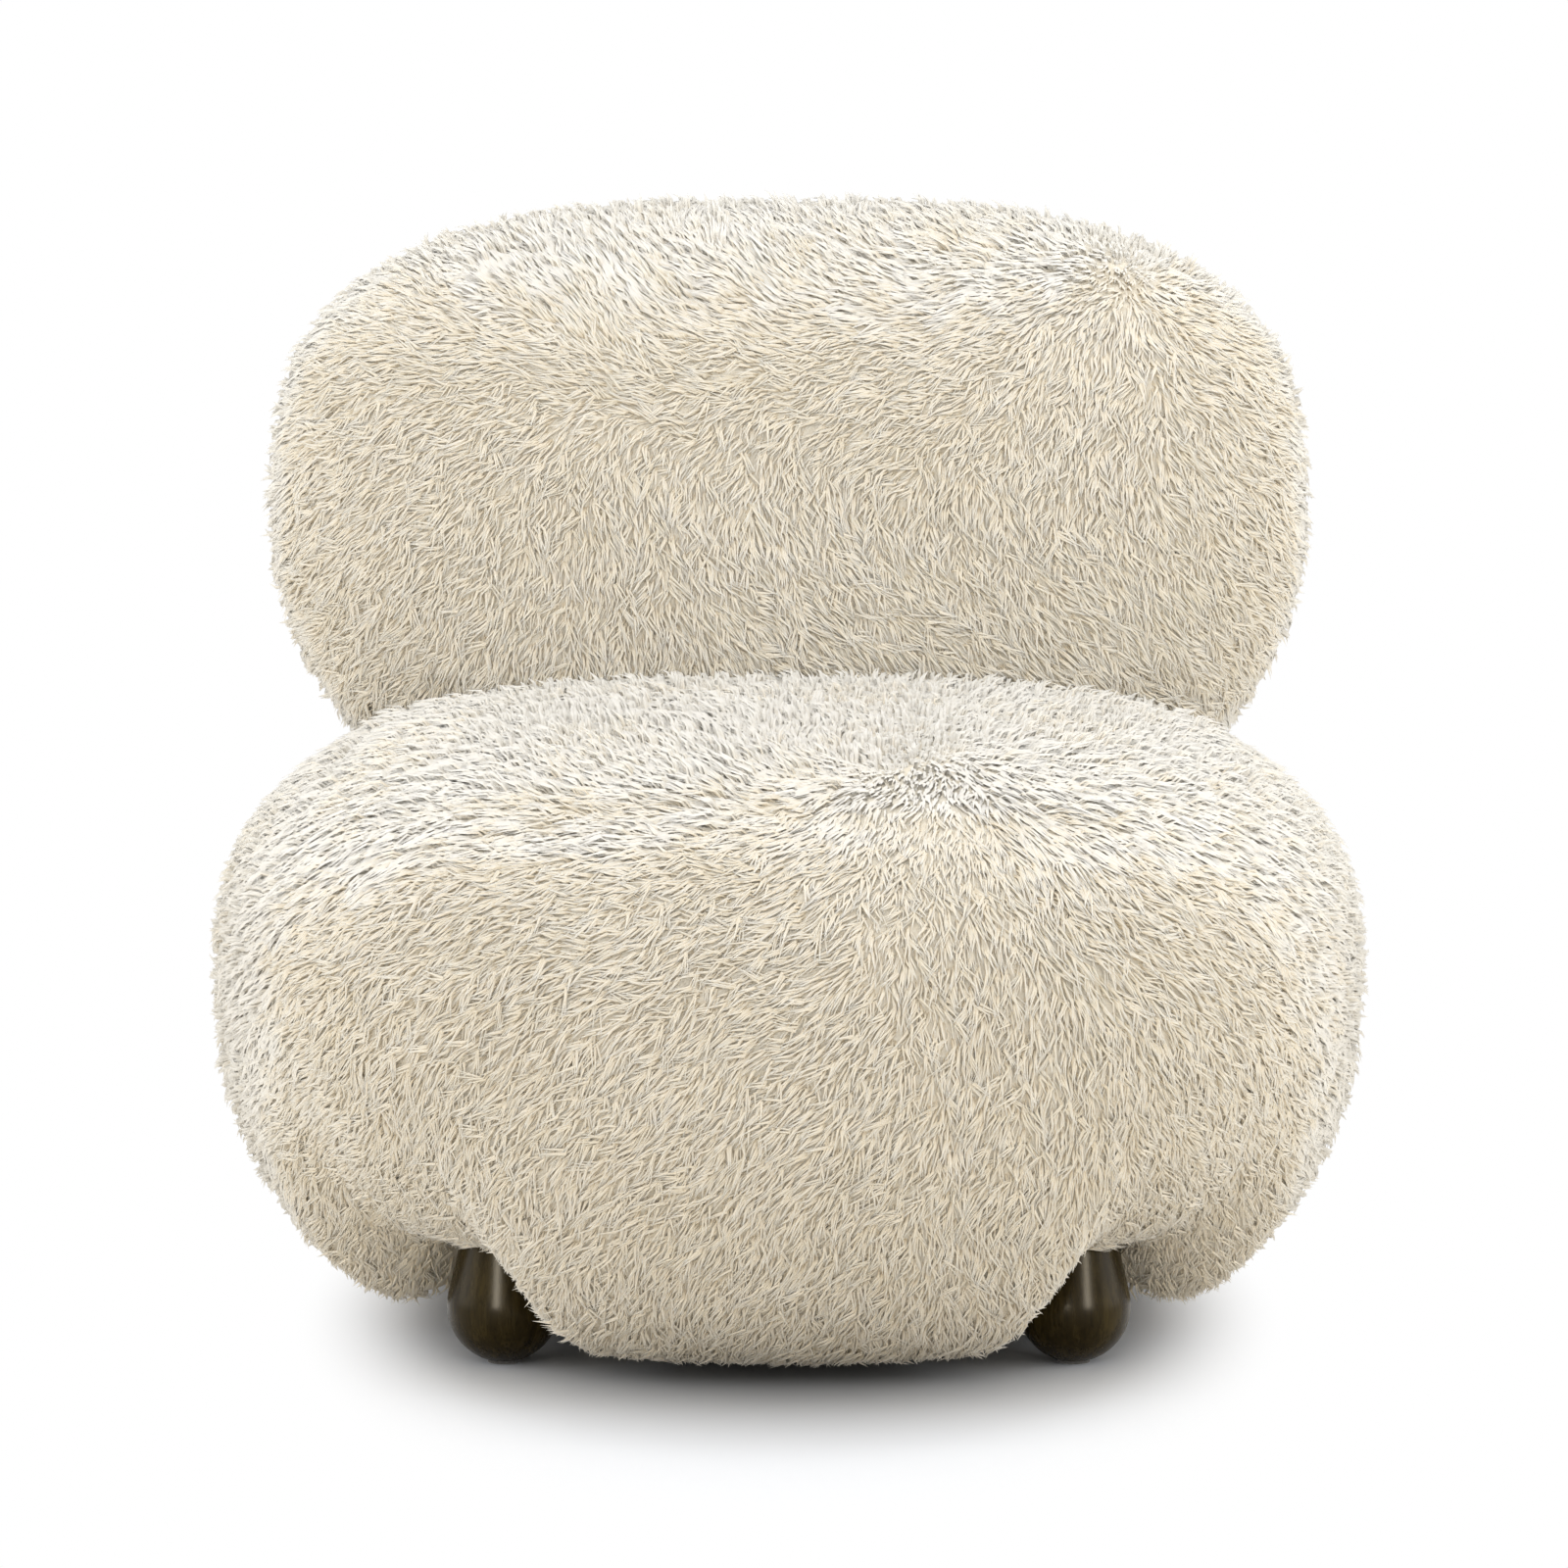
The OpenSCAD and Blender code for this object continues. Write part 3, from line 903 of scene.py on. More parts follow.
@dataclass(frozen=True)
class Stuffing:
    """Swells a pad's backing as stuffing does, by cloth simulation on an even mesh."""

    voxel: float = 0.013
    pressure: float = 4.0
    frames: int = 20
    slack: float = 0.004
    fullness: float = 1.5
    seam: str = "sewn_seam"

    def give(self, heights: np.ndarray, band: Pair) -> np.ndarray:
        """How far the cover can give: not at all below the band, and by its slack above it."""
        return self.slack * ramp((heights - band[0]) / (band[1] - band[0]))[:, None]

    def swell(self, piece: Piece, band: Pair) -> None:
        """Lets the pad swell above a band and keeps it sewn below.

        Args:
            piece: The closed pad.
            band: The two heights between which the cover comes free.
        """
        take_up(piece)
        mesh, scene = piece.data, bpy.context.scene
        mesh.remesh_voxel_size = self.voxel
        bpy.ops.object.voxel_remesh()
        mesh = piece.data
        start, out = read_rows(mesh.vertices, "co"), read_rows(mesh.vertex_normals, "vector")
        group = piece.vertex_groups.new(name=self.seam)
        group.add(np.flatnonzero(start[:, 2] < band[0]).tolist(), 1.0, "REPLACE")
        cloth = piece.modifiers.new("stuffing", "CLOTH")
        rules = cloth.settings
        rules.quality, rules.mass = 4, 0.3
        rules.tension_stiffness = rules.compression_stiffness = 12.0
        rules.shear_stiffness, rules.bending_stiffness = 5.0, 0.6
        rules.use_pressure, rules.uniform_pressure_force = True, self.pressure
        rules.effector_weights.gravity = 0.0
        rules.vertex_group_mass = self.seam
        cloth.collision_settings.use_collision = False
        cloth.collision_settings.use_self_collision = False
        for frame in range(1, self.frames + 1):
            scene.frame_set(frame)
        solved = piece.evaluated_get(bpy.context.evaluated_depsgraph_get())
        shift = read_rows(solved.to_mesh().vertices, "co") - start
        solved.to_mesh_clear()
        piece.modifiers.remove(cloth)
        scene.frame_set(1)
        swell = np.clip(dot(shift, out), 0.0, self.fullness * self.give(start[:, 2], band))
        start += out * swell
        mesh.vertices.foreach_set("co", start.reshape(-1).astype(np.float32))
        mesh.polygons.foreach_set("use_smooth", np.ones(len(mesh.polygons), dtype=bool))
        mesh.update()
        piece.modifiers.new("smooth", "SUBSURF").levels = 1
        bpy.ops.object.modifier_apply(modifier="smooth")
        log.info("%s swelled by %.1f mm on average", piece.name, 1000.0 * float(swell.mean()))


# Pile


@dataclass(frozen=True)
class PileCut:
    """How the pile is cut and combed: lengths in metres, strands to a square metre, and else shares.

    Where a name starts with smooth or calm, it is for the pile that lies
    smooth over the top and round the sides, and the rest is for the locks.
    """

    lift: float = 0.0047
    lay: float = 0.019
    width: float = 0.0022
    widths: Pair = (0.7, 1.25)
    thickness: float = 0.75
    root_depth: float = 0.002
    root_width: float = 0.8
    density: tuple[float, float, float] = (94000.0, 47000.0, 16000.0)
    uneven: float = 0.16
    smooth_longer: float = 0.15
    longer_in_runs: float = 0.10
    lengths: Pair = (0.6, 1.42)
    stand: Pair = (0.35, 1.55)
    smooth_stand: Pair = (0.6, 2.6)
    rarity: int = 5
    own_stand: Pair = (-0.25, 0.15)
    own_calm: float = 0.7
    pressed: float = 0.5
    hung: float = 0.3
    bend_at: float = 0.33
    bend_high: float = 0.7
    bend_droop: float = 0.2
    tip_droop: float = 0.5
    clump: float = 0.0075
    gather: float = 0.2
    gather_tip: float = 0.75
    gather_bend: float = 0.35
    looseness: Pair = (0.4, 1.2)
    wave: float = 0.0008
    tip_wave: float = 1.8
    wave_calm: float = 0.5
    curl: float = 0.0022
    tip_curl: float = 1.3
    curl_calm: float = 0.8
    plain_tone: float = 0.22
    deepest_tone: float = 0.44
    # smooth_tone moves smooth strands to the smooth colours, which are painted edge light
    smooth_tone: float = 0.55
    floor: float = 0.0012


@dataclass(frozen=True)
class Stroke:
    """One stroke of the comb on the chair's front: where it is, and which way the tips are laid.

    The heading is in degrees as seen from the front, 0 to the right and 90 up.
    """

    x: float
    z: float
    heading: float


@dataclass(frozen=True)
class Combing:
    """The way the pile lies: by strokes on the front, back and down elsewhere, and here and there astray."""

    strokes: tuple[Stroke, ...]
    stray_seed: int
    spread: float = 0.055
    outward: float = 0.7
    back_and_down: Place = (0.0, 0.45, -0.9)
    least_facing: float = -0.12
    steepest: float = 3.0
    front_edge: float = 0.45
    front_fade: float = 0.55
    astray: float = 0.18
    stray_runs: tuple[Pair, ...] = ((0.6, 0.11), (0.9, 0.028))
    stray_loose: float = 0.6
    raised: float = 0.75

    def lie(self, places: np.ndarray, normals: np.ndarray) -> np.ndarray:
        """The way the pile lies along the surface.

        Args:
            places: Roots, one to a row.
            normals: The surface's normals there.

        Returns:
            Directions along the surface, shorter where strokes meet and the pile stands up.
        """
        spots = np.array([(s.x, s.z) for s in self.strokes])
        headings = [math.radians(s.heading) for s in self.strokes]
        ways = np.array([(math.cos(h), math.sin(h)) for h in headings])
        gap = (places[:, None, 0] - spots[:, 0]) ** 2 + (places[:, None, 2] - spots[:, 1]) ** 2
        gap = gap / self.spread**2
        share = np.exp(-0.5 * (gap - gap.min(axis=1, keepdims=True)))
        comb = share @ ways / share.sum(axis=1, keepdims=True)
        firm = np.linalg.norm(comb, axis=1, keepdims=True)
        comb = comb / np.maximum(firm, TINY)
        facing = np.minimum(normals[:, 1:2], self.least_facing)
        deep = -(comb[:, 0:1] * normals[:, 0:1] + comb[:, 1:2] * normals[:, 2:3]) / facing
        deep = np.clip(deep, -self.steepest, self.steepest)
        front = unit(np.concatenate([comb[:, 0:1], deep, comb[:, 1:2]], axis=1))
        out = unit(np.concatenate([places[:, :2], np.zeros((len(places), 1))], axis=1))
        other = unit(out * self.outward + np.array(self.back_and_down))
        share = ramp((self.front_edge - normals[:, 1:2]) / self.front_fade)
        way = front * share + other * (1.0 - share)
        way = unit(way - normals * dot(way, normals))
        turn = self.astray * sum(much * ripple(places, length, self.stray_seed + i)
                                 for i, (much, length) in enumerate(self.stray_runs))
        turn = turn[:, None] * (1.0 + self.stray_loose - self.stray_loose * firm)
        way = unit(way * np.cos(turn) + np.cross(normals, way) * np.sin(turn))
        return way * (1.0 - self.raised * share * (1.0 - ramp(firm / 0.5)))


def strokes(*rows: Place) -> tuple[Stroke, ...]:
    """Strokes of the comb from rows of x, z and heading."""
    return tuple(Stroke(*row) for row in rows)


SEAT_STROKES = strokes(
    (-0.38, 0.46, 195), (-0.27, 0.47, 170), (-0.15, 0.47, 140), (-0.04, 0.47, 112), (0.07, 0.47, 90),
    (0.17, 0.47, 62), (0.28, 0.47, 28), (0.38, 0.45, 340), (-0.36, 0.40, 216), (-0.25, 0.40, 205),
    (-0.12, 0.40, 200), (-0.01, 0.41, 196), (0.02, 0.345, 205), (0.08, 0.385, 262), (0.14, 0.39, 294),
    (0.20, 0.40, 325), (0.29, 0.38, 328), (0.37, 0.34, 318), (-0.37, 0.31, 228), (-0.26, 0.31, 220),
    (-0.12, 0.31, 218), (0.0, 0.29, 222), (0.11, 0.30, 250), (0.17, 0.31, 292), (0.28, 0.30, 308),
    (0.38, 0.26, 296), (-0.38, 0.21, 256), (-0.27, 0.21, 246), (-0.15, 0.20, 236), (-0.02, 0.19, 228),
    (0.12, 0.20, 234), (0.19, 0.20, 262), (0.27, 0.20, 284), (0.37, 0.18, 280), (-0.30, 0.11, 252),
    (-0.18, 0.11, 262), (-0.08, 0.10, 232), (0.03, 0.10, 234), (0.12, 0.10, 262), (0.24, 0.12, 278),
    (0.32, 0.12, 296),
)

BACK_STROKES = strokes(
    (-0.31, 0.82, 165), (-0.19, 0.82, 140), (-0.06, 0.82, 128), (0.06, 0.82, 138), (0.17, 0.82, 120),
    (0.26, 0.82, 80), (0.33, 0.80, 45), (-0.36, 0.76, 190), (-0.27, 0.76, 150), (-0.15, 0.75, 132),
    (-0.03, 0.75, 138), (0.10, 0.76, 168), (0.18, 0.75, 200), (0.27, 0.72, 262), (0.36, 0.74, 5),
    (-0.36, 0.70, 208), (-0.28, 0.70, 196), (-0.20, 0.71, 148), (-0.10, 0.70, 140), (0.03, 0.70, 182),
    (0.13, 0.70, 202), (0.21, 0.70, 230), (0.27, 0.67, 264), (0.33, 0.70, 318), (0.37, 0.69, 340),
    (-0.36, 0.64, 222), (-0.25, 0.65, 240), (-0.14, 0.645, 272), (-0.02, 0.65, 250), (0.09, 0.65, 224),
    (0.20, 0.64, 250), (0.31, 0.64, 306), (0.37, 0.62, 300), (-0.34, 0.57, 238), (-0.24, 0.57, 250),
    (-0.13, 0.58, 274), (0.0, 0.58, 288), (0.10, 0.58, 284), (0.20, 0.58, 288), (0.31, 0.56, 300),
    (-0.30, 0.50, 238), (-0.14, 0.51, 262), (-0.03, 0.51, 330), (0.10, 0.51, 328), (0.21, 0.51, 314),
    (0.31, 0.50, 300),
)


# A strand has three edges at its root and three at its bend, at these angles round it, and one tip
STRAND_EDGES = (90.0, 210.0, 330.0)
STRAND_FACES = ((0, 2, 1), (0, 1, 4, 3), (1, 2, 5, 4), (2, 0, 3, 5), (3, 4, 6), (4, 5, 6), (5, 3, 6))
# Each point's place in its column of the tone chart, across and along it; the side edges sit near the
# column's edges, where the side lines paint them in shade
STRAND_MAP = ((0.5, 0.08, 0.92, 0.5, 0.08, 0.92, 0.5), (0.0, 0.05, 0.05, 0.55, 0.55, 0.55, 1.0))
# The corners of the faces underneath, which keep close to one edge of their column, so that the side lines
# paint the underside in shade
PAINTED_SHADE_BENEATH = {7: 0.06, 8: 0.12, 9: 0.12, 10: 0.06, 18: 0.06, 19: 0.12, 20: 0.09}


@dataclass
class Roots:
    """Where strands stand on a pad, and the way they lie."""

    places: np.ndarray
    normals: np.ndarray
    lie: np.ndarray

    def pick(self, mask: np.ndarray) -> "Roots":
        """The roots for which mask is true."""
        return Roots(self.places[mask], self.normals[mask], self.lie[mask])


@dataclass
class Strands:
    """Shaped strands: root, bend and tip of each, with the surface's normal and a tone."""

    root: np.ndarray
    bend: np.ndarray
    tip: np.ndarray
    normal: np.ndarray
    tone: np.ndarray

    def pick(self, mask: np.ndarray) -> "Strands":
        """The strands for which mask is true."""
        return Strands(*(a[mask] for a in (self.root, self.bend, self.tip, self.normal, self.tone)))


@dataclass(frozen=True)
class PileMaker:
    """Grows strands on a pad and sews them up as panels."""

    cut: PileCut
    seed: int

    def sow(self, pad: Piece, plan: "PanelPlan", combing: Combing) -> Roots:
        """Spreads roots over a pad, evenly for each way that it faces.

        Args:
            pad: The closed pad.
            plan: Says how each place faces.
            combing: The way the pile lies.

        Returns:
            The roots.
        """
        mesh = pad.data
        mesh.calc_loop_triangles()
        corners = read_rows(mesh.loop_triangles, "vertices", np.int32)
        points, tilt = read_rows(mesh.vertices, "co"), read_rows(mesh.vertex_normals, "vector")
        a, b, c = (points[corners[:, i]] for i in range(3))
        area = 0.5 * np.linalg.norm(np.cross(b - a, c - a), axis=1)
        facing = plan.facing((a + b + c) / 3.0, unit(tilt[corners].sum(axis=1)))
        weight = np.cumsum(area * np.array(self.cut.density)[facing])
        count = int(weight[-1])
        rng = np.random.default_rng(self.seed)
        which = np.searchsorted(weight, (np.arange(count) + rng.random(count)) / count * weight[-1])
        which = np.minimum(which, len(corners) - 1)
        r1, r2 = np.sqrt(rng.random((count, 1))), rng.random((count, 1))
        share = (1.0 - r1, r1 * (1.0 - r2), r1 * r2)
        places = sum(w * points[corners[which, i]] for i, w in enumerate(share))
        normals = unit(sum(w * tilt[corners[which, i]] for i, w in enumerate(share)))
        return Roots(places, normals, combing.lie(places, normals))

    def shape(self, roots: Roots) -> Strands:
        """Bends each strand over along its lie and draws the tips together in locks.

        Args:
            roots: The roots.

        Returns:
            The strands.
        """
        cut, places, normals, lie = self.cut, roots.places, roots.normals, roots.lie
        rng, count = np.random.default_rng(self.seed + 1), len(places)
        side, calm, heads = unit(np.cross(normals, lie)), self.calm(roots), self.heads(places)
        long = 1.0 + cut.smooth_longer * calm + cut.uneven * rng.normal(size=(count, 1))
        long *= 1.0 + cut.longer_in_runs * ripple(places, 0.05, self.seed + 2)[:, None]
        long = np.clip(long, *cut.lengths)
        sway = [rng.normal(size=(count, 1)) * (1.0 - cut.wave_calm * calm) for _ in range(2)]
        low, tall = cut.smooth_stand
        rare = rng.random((count, 1)) ** cut.rarity
        proud = calm * (low + (tall - low) * rare) + (1.0 - calm) * rng.uniform(*cut.stand, (count, 1))
        droop = calm * (1.0 - rare[heads])
        own = rng.uniform(*cut.own_stand, (count, 1)) * (1.0 - cut.own_calm * calm)
        pressed = np.clip(-lie[:, 1:2], 0.0, 1.0) * np.clip(normals[:, 2:3], 0.0, 1.0)
        hung = np.clip(-normals[:, 2:3], 0.0, 1.0)
        high = cut.lift * proud[heads] * (1.0 + own) * (1.0 - cut.pressed * pressed - cut.hung * hung)
        root = places - normals * cut.root_depth
        bend = (places + normals * high * (cut.bend_high + cut.bend_droop * droop)
                + lie * cut.lay * cut.bend_at * long + side * cut.wave * sway[0])
        tip = (places + normals * high * (1.0 - cut.tip_droop * droop) + lie * cut.lay * long
               + side * cut.wave * cut.tip_wave * sway[1])
        loose = rng.uniform(*cut.looseness, (count, 1))
        tip += cut.gather * loose * (tip[heads] - tip) * cut.gather_tip
        bend += cut.gather_bend * loose * (bend[heads] - bend)
        curl = ripple(places[heads], 0.014, self.seed + 3)[:, None] * (1.0 - cut.curl_calm * calm)
        bend += side * cut.curl * curl
        tip -= side * cut.curl * cut.tip_curl * curl
        tone = (cut.plain_tone + 0.07 * ripple(places, 0.035, self.seed + 4)
                + 0.05 * ripple(places, 0.2, self.seed + 5))
        tone = np.clip(tone + 0.05 * rng.normal(size=count), 0.0, cut.deepest_tone)
        # Smooth strands move to the smooth colours of the chart, which paint edge light
        return Strands(root, bend, tip, normals, tone + cut.smooth_tone * calm[:, 0])

    def calm(self, roots: Roots) -> np.ndarray:
        """How smooth the pile lies: in wavy locks on the front, and sleek over the top and round the sides.

        Smooth pile also takes the paler smooth colours of the chart, which paint the bright edge light where
        the pile turns from the front and over the top.

        Args:
            roots: The roots.

        Returns:
            0 for locks to 1 for smooth, for each root.
        """
        turned = 1.0 - ramp((-roots.normals[:, 1:2] - 0.36) / 0.46)
        over_top = ramp((roots.places[:, 2:3] - 0.68) / 0.11)
        drift = 0.12 * ripple(roots.places, 0.09, self.seed + 8)[:, None]
        beside_legs = ramp((np.abs(roots.places[:, 0:1]) - 0.27) / 0.10)
        belly = ramp((0.24 - roots.places[:, 2:3]) / 0.10) * (1.0 - beside_legs)
        smooth = np.maximum(turned, over_top) + drift * (1.0 - np.abs(2.0 * turned - 1.0))
        return np.clip(smooth, 0.0, 1.0) * (1.0 - belly)

    def heads(self, places: np.ndarray) -> np.ndarray:
        """Picks the strands that lead the locks, and puts every strand into the nearest lock.

        Args:
            places: The roots.

        Returns:
            For each strand the number of the one that leads it.
        """
        count = len(places)
        rng = np.random.default_rng(self.seed + 6)
        spacing = max(2, int(np.median(self.cut.density) * self.cut.clump**2))
        leaders = np.sort(rng.choice(count, count // spacing, replace=False))
        tree = kdtree.KDTree(len(leaders))
        for i, leader in enumerate(leaders):
            tree.insert(places[leader], i)
        tree.balance()
        nearest = np.fromiter((tree.find(p)[1] for p in places), dtype=np.int64, count=count)
        return leaders[nearest]

    def panel(self, name: str, strands: Strands) -> Piece:
        """One panel of pile as a mesh of closed tapered strands, three-sided from root to bend to tip.

        Args:
            name: The panel's name.
            strands: Its strands.

        Returns:
            The piece.
        """
        cut, count, normal = self.cut, len(strands.root), strands.normal
        rise, over = unit(strands.bend - strands.root), unit(strands.tip - strands.root)
        last = unit(strands.tip - strands.bend)
        rng = np.random.default_rng(self.seed + 7 + count)
        size = cut.width * rng.uniform(*cut.widths, (count, 1)) * (1.0 + 0.3 * strands.tone[:, None])
        sleek = ramp((strands.tone[:, None] - 0.45) / 0.45)
        thick = cut.thickness * (1.0 - 0.35 * sleek)
        places, outward = [], []
        rings = ((strands.root, rise, cut.root_width), (strands.bend, unit(over + last), 1.0))
        for centre, way, wide in rings:
            across = unit(np.cross(normal, way) + TINY)
            upward = np.cross(way, across)
            for angle in STRAND_EDGES:
                c, s = math.cos(math.radians(angle)), math.sin(math.radians(angle))
                places.append(centre + size * wide * 0.5 * (across * c + upward * s * thick))
                outward.append(across * c + upward * s)
        places = np.stack([*places, strands.tip], axis=1)
        outward = np.stack([*outward, np.cross(last, unit(np.cross(normal, last) + TINY))], axis=1)
        own, shared = (0.75 - 0.63 * sleek)[:, None], (0.6 + 0.4 * sleek)[:, None]
        soft = unit(outward * own + normal[:, None, :] * shared)
        corner = np.array([point for face in STRAND_FACES for point in face])
        sides = np.array([len(face) for face in STRAND_FACES])
        starts = np.concatenate([[0], np.cumsum(sides)[:-1]])
        lift = np.arange(count, dtype=np.int32)[:, None]
        mesh = bpy.data.meshes.new(name)
        mesh.vertices.add(places.size // 3)
        mesh.vertices.foreach_set("co", places.reshape(-1).astype(np.float32))
        mesh.loops.add(count * len(corner))
        mesh.loops.foreach_set("vertex_index", (lift * places.shape[1] + corner).reshape(-1).astype(np.int32))
        mesh.polygons.add(count * len(sides))
        mesh.polygons.foreach_set("loop_start", (lift * len(corner) + starts).reshape(-1).astype(np.int32))
        mesh.update(calc_edges=True)
        mesh.polygons.foreach_set("use_smooth", np.ones(count * len(sides), dtype=bool))
        mesh.normals_split_custom_set_from_vertices(soft.reshape(-1, 3).astype(np.float32))
        self.chart(mesh, strands.tone, corner)
        return link(name, mesh)

    def chart(self, mesh: bpy.types.Mesh, tone: np.ndarray, corner: np.ndarray) -> None:
        """Gives each strand its column of the tone chart, root at the bottom and tip at the top.

        Args:
            mesh: The panel's mesh.
            tone: Each strand's tone, 0 to 1.
            corner: The points of one strand's faces, in order.
        """
        column = np.clip((tone * TONE_COLUMNS).astype(np.int64), 0, TONE_COLUMNS - 1)[:, None] / TONE_COLUMNS
        across, along = (np.array(values)[corner] for values in STRAND_MAP)
        # The faces underneath take the darkest part of the side lines: painted shade
        across[list(PAINTED_SHADE_BENEATH)] = list(PAINTED_SHADE_BENEATH.values())
        across = column + (across / TONE_COLUMNS)[None, :]
        chart = np.stack([across, np.broadcast_to(along[None, :], across.shape)], axis=-1)
        layer = mesh.uv_layers.new(name=PILE_MAP)
        layer.data.foreach_set("uv", chart.reshape(-1).astype(np.float32))


class PanelPlan:
    """How a pad's places are shared out among the panels, and how each faces."""

    def facing(self, places: np.ndarray, normals: np.ndarray) -> np.ndarray:
        """For each place, the number of its Reach."""
        raise NotImplementedError

    def panels(self, places: np.ndarray) -> dict[str, np.ndarray]:
        """For each panel's name, the mask of the places in it."""
        raise NotImplementedError


@dataclass(frozen=True)
class SeatPanels(PanelPlan):
    """The seat's cover: three panels over the crown, and seven gores round the side and under."""

    form: SeatForm
    crown_z: float = 0.395
    crown_cuts: Pair = (-0.17, 0.05)
    gores: tuple[tuple[str, float, float], ...] = (
        ("right", 330, 30), ("rear_right", 30, 90), ("rear_left", 90, 150), ("left", 150, 210),
        ("front_left", 210, 246), ("front_middle", 246, 294), ("front_right", 294, 330))

    def facing(self, places: np.ndarray, normals: np.ndarray) -> np.ndarray:
        """The front and the crown show most, and the turned-under part least.

        Args:
            places: Places on the pad.
            normals: The surface's normals there.

        Returns:
            For each place, the number of its Reach.
        """
        x, y, z = places[:, 0], places[:, 1], places[:, 2]
        way = np.full(len(places), Reach.TURNED.value)
        way[(y < self.form.middle_y) | ((z > 0.40) & (y < 0.20))] = Reach.SHOWN.value
        inward = np.hypot(x, y - self.form.middle_y) < 0.33
        way[(normals[:, 2] < -0.25) & inward & (z < 0.13)] = Reach.UNDER.value
        return way

    def panels(self, places: np.ndarray) -> dict[str, np.ndarray]:
        """Ten panels, each small enough to handle.

        Args:
            places: The strands' roots.

        Returns:
            For each panel's name, the mask of the places in it.
        """
        x, y, z = places[:, 0], places[:, 1] - self.form.middle_y, places[:, 2]
        turn = np.degrees(np.arctan2(y, x)) % 360.0
        crown, (near, far) = z > self.crown_z, self.crown_cuts
        masks = {"seat_pile_crown_front": crown & (y < near),
                 "seat_pile_crown_middle": crown & (y >= near) & (y < far),
                 "seat_pile_crown_rear": crown & (y >= far)}
        for name, low, high in self.gores:
            inside = (turn >= low) & (turn < high) if low < high else (turn >= low) | (turn < high)
            masks[f"seat_pile_{name}"] = ~crown & inside
        return masks


@dataclass(frozen=True)
class BackPanels(PanelPlan):
    """The back's cover, left and right of its middle: upper and lower front panels, and rear panels."""

    form: BackForm
    level_z: float = 0.60

    def facing(self, places: np.ndarray, normals: np.ndarray) -> np.ndarray:
        """The front and the top show most."""
        shown = (normals[:, 1] < 0.15) | (normals[:, 2] > 0.55)
        return np.where(shown, Reach.SHOWN.value, Reach.TURNED.value)

    def panels(self, places: np.ndarray) -> dict[str, np.ndarray]:
        """Six panels, each small enough to handle.

        Args:
            places: The strands' roots.

        Returns:
            For each panel's name, the mask of the places in it.
        """
        f = self.form
        x, z = places[:, 0], places[:, 2]
        lean = (z - f.middle_z) * math.tan(math.radians(f.lean))
        front = places[:, 1] - f.middle_y - lean + f.wrap * (x / (f.width / 2.0)) ** 2 < 0.0
        sides = (("left", x < 0.0), ("right", x >= 0.0))
        masks = {f"back_pile_front_{level}_{side}": front & part & (high == (z > self.level_z))
                 for level, high in (("upper", True), ("lower", False)) for side, part in sides}
        return masks | {f"back_pile_rear_{side}": ~front & part for side, part in sides}


# Sub-assemblies


